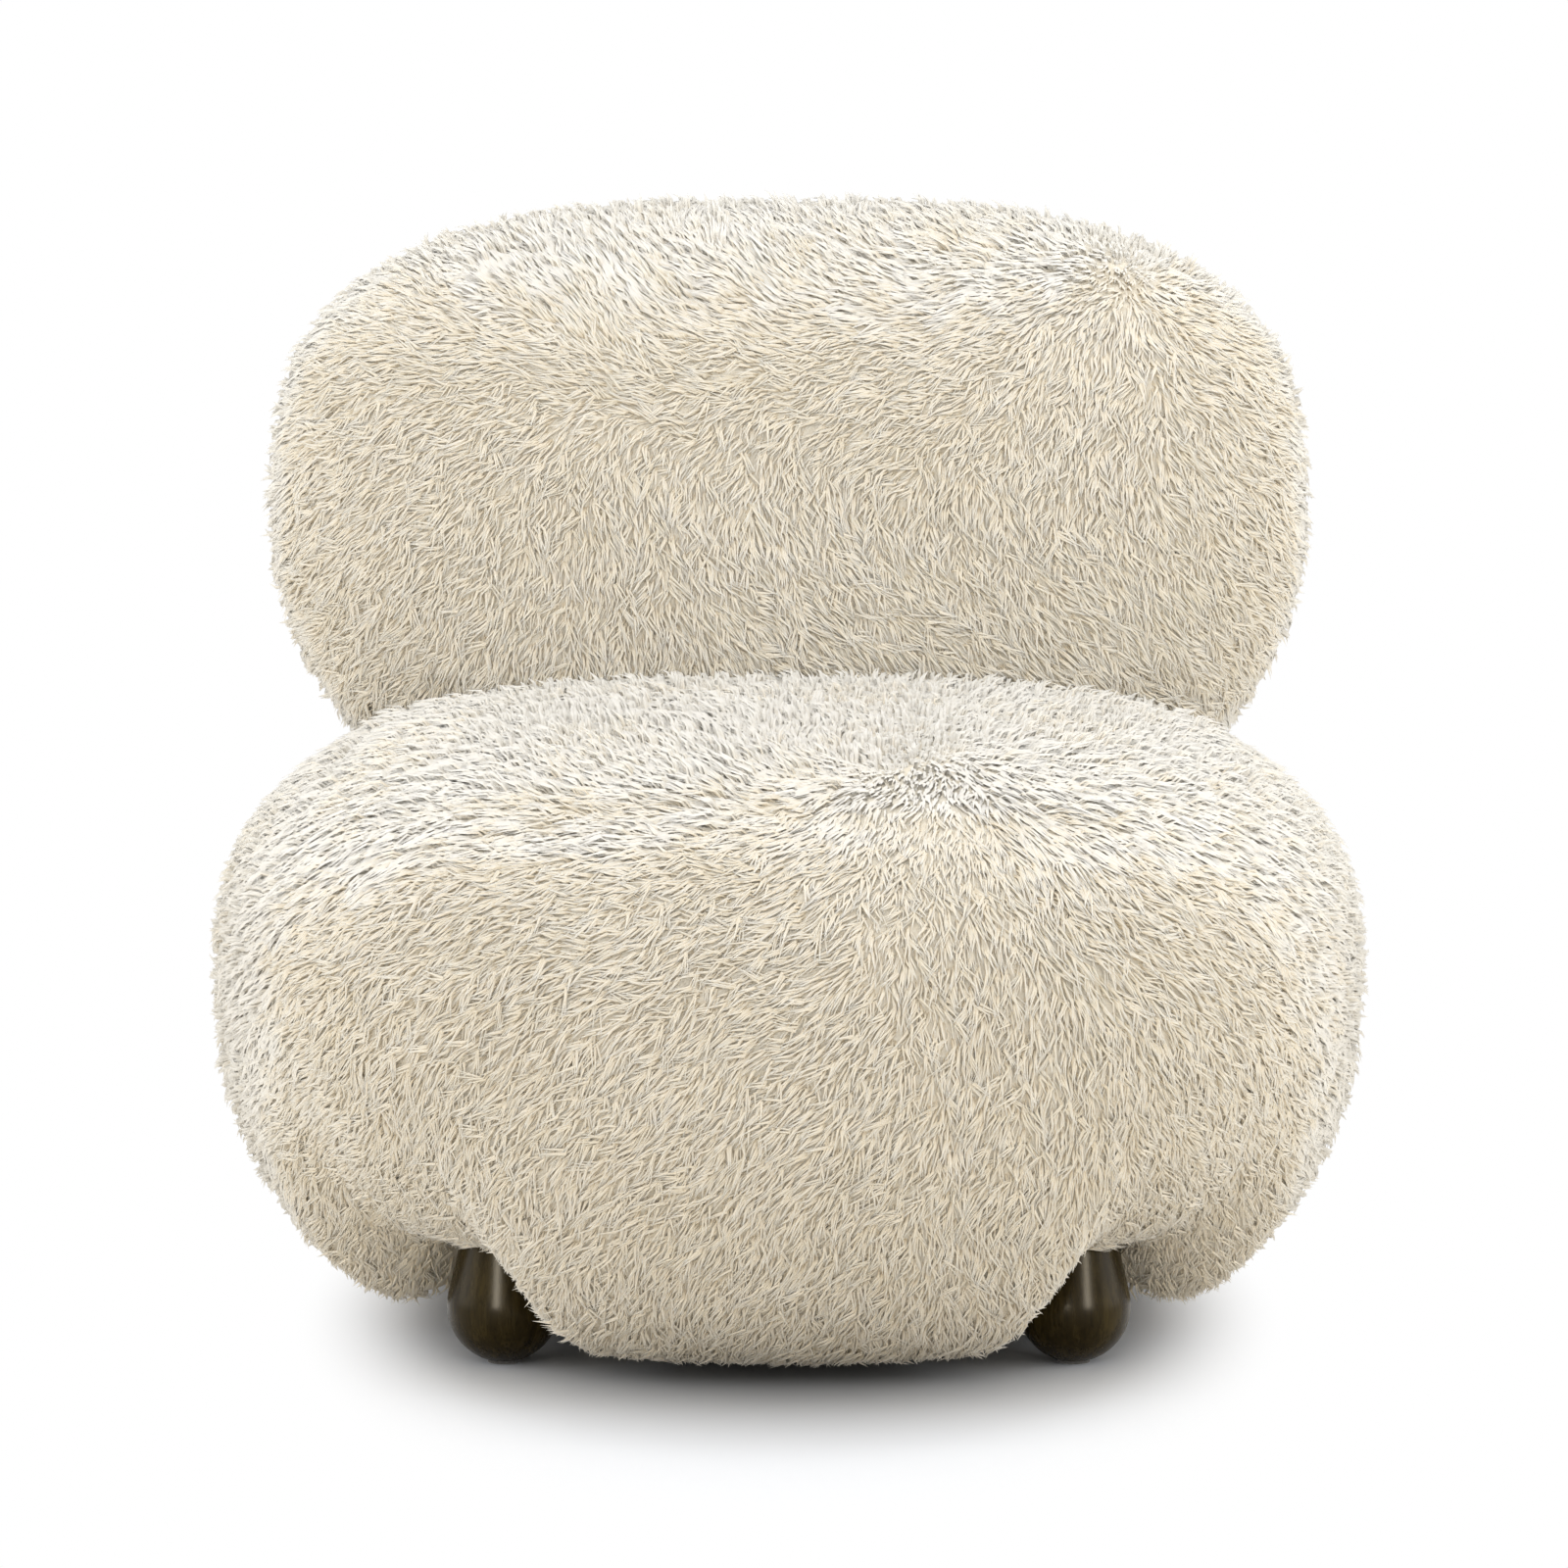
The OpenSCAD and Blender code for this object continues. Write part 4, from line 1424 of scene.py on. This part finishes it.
@dataclass(frozen=True)
class Upholstery:
    """The seat and the back: a padded backing each, with the pile grown on it.

    A band is the two heights between which a pad's cover comes free of the
    frame. The press depths are where seat and back squeeze the pile away.
    """

    seat: SeatForm = SeatForm()
    back: BackForm = BackForm()
    cut: PileCut = PileCut()
    stuffing: Stuffing = Stuffing()
    ground: float = 0.0034
    fill: float = 0.85
    seat_band: Pair = (0.13, 0.24)
    back_band: Pair = (0.36, 0.46)
    seat_press: float = 0.006
    back_press: float = 0.012
    hem_clear: float = 0.002
    hem_band: Pair = (0.012, 0.13)
    leg_clear: float = 0.0435
    root_reach: float = 0.006

    def build(self) -> None:
        """Makes both pads, and then the pile on each."""
        backing, pile = BackingFinish().material(), PileFinish().material()
        seat_skin = partial(self.seat.shell, round_count=220, swing_count=96)
        back_skin = partial(self.back.shell, stations=110, round_count=110)
        seat_pad = self.pad("seat_pad", "seat_cover", seat_skin, backing, self.seat_band)
        back_pad = self.pad("back_pad", "back_cover", back_skin, backing, self.back_band)
        for pad, node, plan, combing, seed in (
                (seat_pad, "seat_cover", SeatPanels(self.seat), Combing(SEAT_STROKES, 11), 101),
                (back_pad, "back_cover", BackPanels(self.back), Combing(BACK_STROKES, 23), 202)):
            self.cover(pad, node, plan, combing, PileMaker(self.cut, seed), pile)

    def pad(self, name: str, node: str, skin: SkinMaker, finish: Material, band: Pair) -> Piece:
        """A closed padded backing that stands for a CAD cover.

        Args:
            name: The piece's name.
            node: The CAD node that it stands for.
            skin: Makes its skin at a depth below the pile's tips.
            finish: Its material.
            band: The two heights between which its cover comes free of the frame.

        Returns:
            The piece.
        """
        stuffing = self.stuffing
        points, faces = skin(self.ground)
        limp = skin(self.ground + stuffing.slack)[0]
        points = points + (limp - points) * stuffing.give(points[:, 2], band) / stuffing.slack
        piece = mesh_object(name, points, faces)
        stuffing.swell(piece, band)
        stand_in(piece, node, finish)
        return piece

    def cover(self, pad: Piece, node: str, plan: PanelPlan, combing: Combing, maker: PileMaker,
              finish: Material) -> None:
        """Grows the pile on a pad and shares it out among its panels.

        Args:
            pad: The padded backing.
            node: The CAD node that the pile stands for.
            plan: The panels.
            combing: The way the pile lies.
            maker: Grows it.
            finish: Its material.
        """
        roots = maker.sow(pad, plan, combing)
        roots = roots.pick(self.free(roots.places, node))
        strands = self.part_round_legs(maker.shape(roots))
        for name, mask in plan.panels(strands.root).items():
            if mask.any():
                stand_in(maker.panel(name, strands.pick(mask)), node, finish)

    def free(self, places: np.ndarray, node: str) -> np.ndarray:
        """Which roots have room: none under the base board, in a leg, or where seat and back press together.

        Args:
            places: The roots.
            node: The CAD node that they stand for.

        Returns:
            True for each root that stays.
        """
        seat, (board, hem_top) = self.seat, self.hem_band
        if node == "back_cover":
            return ~seat.holds(places, self.seat_press)
        keep, low = ~self.back.holds(places, self.back_press), places[:, 2] < hem_top
        x, y = places[:, 0], places[:, 1] - seat.middle_y
        turn = np.arctan2(y, x)
        hem = rim(turn, seat.leg_x + self.ground, seat.leg_rear + self.ground, seat.hem_plan_power)
        keep &= ~((np.hypot(x, y) < hem + self.hem_clear) & (places[:, 2] > seat.leg_top - board) & low)
        for leg_x, leg_y in seat.leg_places():
            far = np.hypot(places[:, 0] - leg_x, places[:, 1] - leg_y)
            keep &= ~((far < self.leg_clear - self.root_reach) & low)
        return keep

    def part_round_legs(self, strands: Strands) -> Strands:
        """Keeps bends and tips off the legs and the floor.

        Args:
            strands: The strands, whose bends and tips are moved.

        Returns:
            The same strands.
        """
        for points in (strands.bend, strands.tip):
            for leg in self.seat.leg_places():
                away = points[:, :2] - np.array(leg)
                far = np.linalg.norm(away, axis=1, keepdims=True)
                low = points[:, 2:3] < self.seat.leg_top + 0.002
                push = np.where(low & (far < self.leg_clear), self.leg_clear - far, 0.0)
                points[:, :2] += away / np.maximum(far, TINY) * push
            points[:, 2] = np.maximum(points[:, 2], self.cut.floor)
        return strands


@dataclass(frozen=True)
class TurnedLeg:
    """One leg: a ball foot with a flat under it, tapering to its top under the base board."""

    name: str
    place: Pair
    ball: float = 0.0415
    taper: float = 13.0
    foot: float = 0.015
    glide: float = 0.003
    top: float = 0.105
    sides: int = 80
    rings: int = 22
    smooth_angle: float = 40.0

    def profile(self) -> list[Pair]:
        """Radius and height of each ring, from the foot up.

        Returns:
            One pair for each ring.
        """
        middle = self.glide + math.sqrt(self.ball**2 - self.foot**2)
        start, end = -math.acos(self.foot / self.ball), math.radians(self.taper)
        angles = [start + (end - start) * i / self.rings for i in range(self.rings + 1)]
        turned = [(self.ball * math.cos(a), middle + self.ball * math.sin(a)) for a in angles]
        (r, z), slope = turned[-1], math.tan(end)
        rise = self.top - z
        return turned + [(r - rise * slope * t, z + rise * t) for t in (0.25, 0.5, 0.75, 1.0)]

    def build(self) -> Piece:
        """Raises the leg ring by ring from its foot.

        Returns:
            The piece.
        """
        rings = self.profile()
        take_up()
        x, y = self.place
        bpy.ops.mesh.primitive_circle_add(vertices=self.sides, radius=rings[0][0], fill_type="NGON",
                                          location=(x, y, rings[0][1]))
        piece = bpy.context.object
        piece.name = piece.data.name = self.name
        bpy.ops.object.mode_set(mode="EDIT")
        bpy.ops.mesh.select_all(action="SELECT")
        for (r0, z0), (r1, z1) in zip(rings, rings[1:]):
            bpy.ops.mesh.extrude_region_move(TRANSFORM_OT_translate={"value": (0.0, 0.0, z1 - z0)})
            bpy.ops.transform.resize(value=(r1 / r0, r1 / r0, 1.0), center_override=(x, y, z1))
        bpy.ops.mesh.select_all(action="SELECT")
        bpy.ops.mesh.normals_make_consistent(inside=False)
        bpy.ops.object.mode_set(mode="OBJECT")
        take_up(piece)
        bpy.ops.object.transform_apply(location=True, rotation=True, scale=True)
        bpy.ops.object.shade_smooth_by_angle(angle=math.radians(self.smooth_angle))
        return piece


@dataclass(frozen=True)
class Legs:
    """The four turned legs."""

    seat: SeatForm = SeatForm()
    names: tuple[str, ...] = ("leg_front_left", "leg_front_right", "leg_rear_left", "leg_rear_right")

    def build(self) -> None:
        """Turns each leg where its CAD node stands."""
        finish = TurnedWoodFinish().material()
        for node, place in zip(self.names, self.seat.leg_places()):
            stand_in(TurnedLeg(f"{node}_turned", place).build(), node, finish)


@dataclass(frozen=True)
class DustCover:
    """Black cloth stretched under the base board, with its corners rounded to the hem."""

    seat: SeatForm = SeatForm()
    finish: WovenFinish = WovenFinish("black_dust_cloth", (0.006, 0.006, 0.006), (0.03, 0.03, 0.031),
                                      260.0, 0.0002)
    lap: float = 0.006
    corner: float = 0.084
    thick: float = 0.0006
    board_gap: float = 0.0002
    sag: float = 0.0007
    rows: int = 60

    def build(self) -> None:
        """Lays the cloth as a fine grid, rounds its corners and gives it its thickness."""
        half = (self.seat.leg_x - self.lap, self.seat.leg_rear - self.lap)
        span = np.linspace(-1.0, 1.0, self.rows + 1)
        u, v = np.meshgrid(span, span, indexing="ij")
        x, y = u * half[0], v * half[1]
        inner = (half[0] - self.corner, half[1] - self.corner)
        over = (np.maximum(np.abs(x) - inner[0], 0.0), np.maximum(np.abs(y) - inner[1], 0.0))
        reach = np.hypot(*over)
        pull = np.where(reach > 0.0, np.maximum(over[0], over[1]) / np.maximum(reach, 1e-9), 1.0)
        x = np.sign(x) * (np.minimum(np.abs(x), inner[0]) + over[0] * pull)
        y = np.sign(y) * (np.minimum(np.abs(y), inner[1]) + over[1] * pull)
        flat = np.stack([x.ravel(), y.ravel() + self.seat.middle_y, np.zeros(x.size)], axis=1)
        loose = (1.0 - u.ravel() ** 4) * (1.0 - v.ravel() ** 4)
        top = self.seat.leg_top - self.board_gap
        flat[:, 2] = top - self.thick - loose * (self.sag * (0.6 + 0.25 * ripple(flat, 0.09, 41)))
        n = self.rows + 1
        faces = [[i * n + j, i * n + j + 1, (i + 1) * n + j + 1, (i + 1) * n + j]
                 for i in range(self.rows) for j in range(self.rows)]
        piece = mesh_object("dust_cover_cloth", flat, faces)
        take_up(piece)
        solid = piece.modifiers.new("thickness", "SOLIDIFY")
        solid.thickness, solid.offset = self.thick, -1.0
        bpy.ops.object.modifier_apply(modifier=solid.name)
        stand_in(piece, "dust_cover", self.finish.material())


SOFTWOOD = ((0.50, 0.33, 0.17), (0.70, 0.52, 0.31))
UPRIGHT_SOFTWOOD = ((0.48, 0.31, 0.16), (0.68, 0.50, 0.30))
INSIDE = (
    (BareWoodFinish("softwood_across", *SOFTWOOD),
     ("front_rail", "rear_rail", "back_top_rail", "back_bottom_rail")),
    (BareWoodFinish("softwood_along", *SOFTWOOD, (1.0, 0.08, 1.0)), ("left_rail", "right_rail")),
    (BareWoodFinish("softwood_upright", *UPRIGHT_SOFTWOOD, (1.0, 1.0, 0.08)),
     ("corner_blocks", "back_post_left", "back_post_right")),
    (BareWoodFinish("birch_board", (0.60, 0.44, 0.26), (0.76, 0.61, 0.41), (0.1, 1.0, 1.0), 120.0),
     ("base_board", "back_panel")),
    (SteelFinish(), ("leg_bolts", "leg_tee_nuts", "back_bolts", "back_washers", "back_nuts")),
    (FeltFinish(), ("leg_glides",)),
    (WovenFinish("jute_webbing", (0.20, 0.15, 0.085), (0.48, 0.39, 0.25)), ("long_straps", "cross_straps")),
    (FoamFinish("firm_foam", (0.42, 0.50, 0.57), (0.56, 0.64, 0.70)), ("deck_pad",)),
    (FoamFinish("seat_foam", (0.82, 0.74, 0.50), (0.93, 0.87, 0.66)), ("seat_foam", "back_foam")),
    (FoamFinish("wadding", (0.82, 0.82, 0.80), (0.94, 0.94, 0.92), 240.0, 0.002),
     ("seat_wadding", "back_wadding")),
)


@dataclass(frozen=True)
class HiddenFrame:
    """The CAD nodes inside the chair and under it, which keep their shapes and get their finishes."""

    nodes: dict[str, Piece]

    def build(self) -> None:
        """Dresses every CAD node that stays."""
        for finish, names in INSIDE:
            material = finish.material()
            for name in names:
                piece = self.nodes[name]
                if not piece.material_slots:
                    piece.data.materials.append(material)
                for place in piece.material_slots:
                    place.material = material
                log.info("%s: %s", name, material.name)


@dataclass(frozen=True)
class Lamp:
    """A rectangular softbox: where it hangs, what it points at, its size, power in watts and glow."""

    name: str
    place: Place
    size: Pair
    power: float
    glow: Glow = Glow.LIGHT
    aim: Place = (0.0, 0.0, 0.3)
    colour: Colour = (0.95, 0.98, 1.0)

    def build(self) -> None:
        """Hangs the lamp in the studio."""
        data = bpy.data.lights.new(self.name, "AREA")
        data.shape, data.size, data.size_y, data.energy = "RECTANGLE", *self.size, self.power
        data.color = self.colour
        lamp = link(self.name, data)
        lamp.location = self.place
        lamp.visible_diffuse = self.glow is not Glow.SHINE
        lamp.visible_glossy = self.glow is not Glow.FILL
        lamp.rotation_euler = (Vector(self.aim) - Vector(self.place)).to_track_quat("-Z", "Y").to_euler()


LAMPS = (
    Lamp("overhead_softbox", (0.0, -0.5, 2.9), (2.8, 2.2), 20.5),
    Lamp("front_softbox", (0.0, -3.5, 2.2), (3.0, 1.6), 20.0, Glow.FILL, (0.0, 0.0, 0.5)),
    Lamp("left_softbox", (-3.0, -0.6, 0.8), (2.2, 1.6), 22.5),
    Lamp("left_strip", (-1.02, -3.9, 1.05), (0.8, 1.4), 110.0, Glow.SHINE),
    Lamp("right_softbox", (3.0, -0.6, 0.8), (2.2, 1.6), 26.5),
    Lamp("right_strip", (2.04, -3.9, 1.05), (0.8, 1.4), 110.0, Glow.SHINE),
)


@dataclass(frozen=True)
class Oval:
    """A soft oval on the floor under the chair: half its size, and where it fades, as shares of it."""

    half: Pair
    span: Pair

    def value(self, nodes: Nodes) -> Socket:
        """0 inside the oval and 1 outside it.

        Args:
            nodes: The floor's nodes.

        Returns:
            The value.
        """
        here = nodes.add("TexCoord").outputs["Object"]
        share = (1.0 / self.half[0], 1.0 / self.half[1], 0.0)
        scaled = nodes.add("VectorMath", {0: here, 1: share}, operation="MULTIPLY").outputs["Vector"]
        far = nodes.add("VectorMath", {0: scaled}, operation="LENGTH").outputs["Value"]
        return nodes.fade(far, *self.span)


@dataclass(frozen=True)
class Studio:
    """Camera, lamps, floor and background of a plain bright studio."""

    eye: Place = (0.0, -4.979, 1.0)
    pitch: float = 6.9
    lens: float = 152.2
    shift: float = -5.0 / 1600.0
    far: float = 60.0
    sky: float = 0.88
    sky_colour: Colour = (1.0, 0.967, 0.905)
    floor_radius: float = 14.0
    floor_seen: Colour = (0.82, 0.82 * 1.03, 0.82 * 1.10)
    floor_plain: Colour = (0.76, 0.72, 0.65)
    # Painted shadow: inside the shaded oval the floor's colours are darkened, by shade_seen for the camera
    # and by shade_plain for bounced light
    shade_seen: float = 0.34
    shade_plain: float = 0.28
    shaded: Oval = Oval((0.257, 0.465), (0.4, 1.3))
    lit: Oval = Oval((0.312, 0.62), (0.82, 1.2))

    def build(self) -> None:
        """Sets the camera, the light and the floor."""
        self.camera()
        self.world()
        for lamp in LAMPS:
            lamp.build()
        self.floor()
        bpy.context.scene.view_settings.view_transform = "Standard"

    def camera(self) -> None:
        """Looks straight at the chair's front from a little above the seat."""
        data = bpy.data.cameras.new("camera")
        data.lens, data.sensor_width, data.shift_x, data.clip_end = self.lens, 36.0, self.shift, self.far
        camera = link("camera", data)
        camera.location = self.eye
        camera.rotation_euler = (math.radians(90.0 - self.pitch), 0.0, 0.0)
        bpy.context.scene.camera = camera

    def world(self) -> None:
        """An even sky, and white where the camera or a reflection looks past the floor."""
        world = bpy.context.scene.world = bpy.data.worlds.new("studio")
        nodes = Nodes(world)
        sky, out = nodes.tree.nodes["Background"], nodes.tree.nodes["World Output"]
        nodes.set(sky, {"Color": (*self.sky_colour, 1.0), "Strength": self.sky})
        white = nodes.add("Background", {"Color": (*WHITE, 1.0), "Strength": 1.0})
        nodes.set(out, {"Surface": self.mix(nodes, self.seen(nodes), sky, white)})

    def mix(self, nodes: Nodes, share: Socket, a: bpy.types.Node, b: bpy.types.Node) -> Socket:
        """Goes from shader a to shader b by a share."""
        return nodes.add("MixShader", {"Fac": share, 1: a.outputs[0], 2: b.outputs[0]}).outputs[0]

    def seen(self, nodes: Nodes) -> Socket:
        """1 for a camera, glossy or transmission ray, and else 0.

        Args:
            nodes: The nodes that it joins.

        Returns:
            The value.
        """
        path = nodes.add("LightPath").outputs
        total = path["Is Camera Ray"]
        for name in ("Is Glossy Ray", "Is Transmission Ray"):
            total = nodes.add("Math", {0: total, 1: path[name]}, operation="ADD", use_clamp=True).outputs[0]
        return total

    def floor(self) -> None:
        """A pale floor that takes the chair's shadow, with a painted shadow as a darker soft oval under the
        chair, and turns to plain white further out.
        """
        take_up()
        bpy.ops.mesh.primitive_circle_add(vertices=96, radius=self.floor_radius, fill_type="NGON",
                                          location=(0.0, 0.0, 0.0))
        floor = bpy.context.object
        floor.name = floor.data.name = "studio_floor"
        material = bpy.data.materials.new("pale_floor")
        nodes = Nodes(material)
        nodes.tree.nodes.remove(nodes.tree.nodes["Principled BSDF"])
        # The darker paint near the chair is a painted shadow
        near, paints = self.shaded.value(nodes), []
        for colour, shade in ((self.floor_plain, self.shade_plain), (self.floor_seen, self.shade_seen)):
            tone = nodes.add("Mix", {"Factor": near}, data_type="RGBA")
            nodes.set(tone, {"A": (*(shade * c for c in colour), 1.0), "B": (*colour, 1.0)})
            paints.append(nodes.add("BsdfDiffuse", {"Color": tone.outputs["Result"]}))
        seen = nodes.add("MixShader", {"Fac": self.lit.value(nodes), 1: paints[1].outputs[0],
                                       2: nodes.add("Emission").outputs[0]})
        out = nodes.tree.nodes["Material Output"]
        nodes.set(out, {"Surface": self.mix(nodes, self.seen(nodes), paints[0], seen)})
        floor.data.materials.append(material)


def main() -> None:
    """Loads the frame, builds and dresses the chair, and sets the studio."""
    logging.basicConfig(level=logging.INFO, format="%(name)s %(message)s")
    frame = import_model()
    for section in (Studio(), HiddenFrame(frame["nodes"]), Legs(), DustCover(), Upholstery()):
        section.build()


if __name__ == "__main__":
    main()
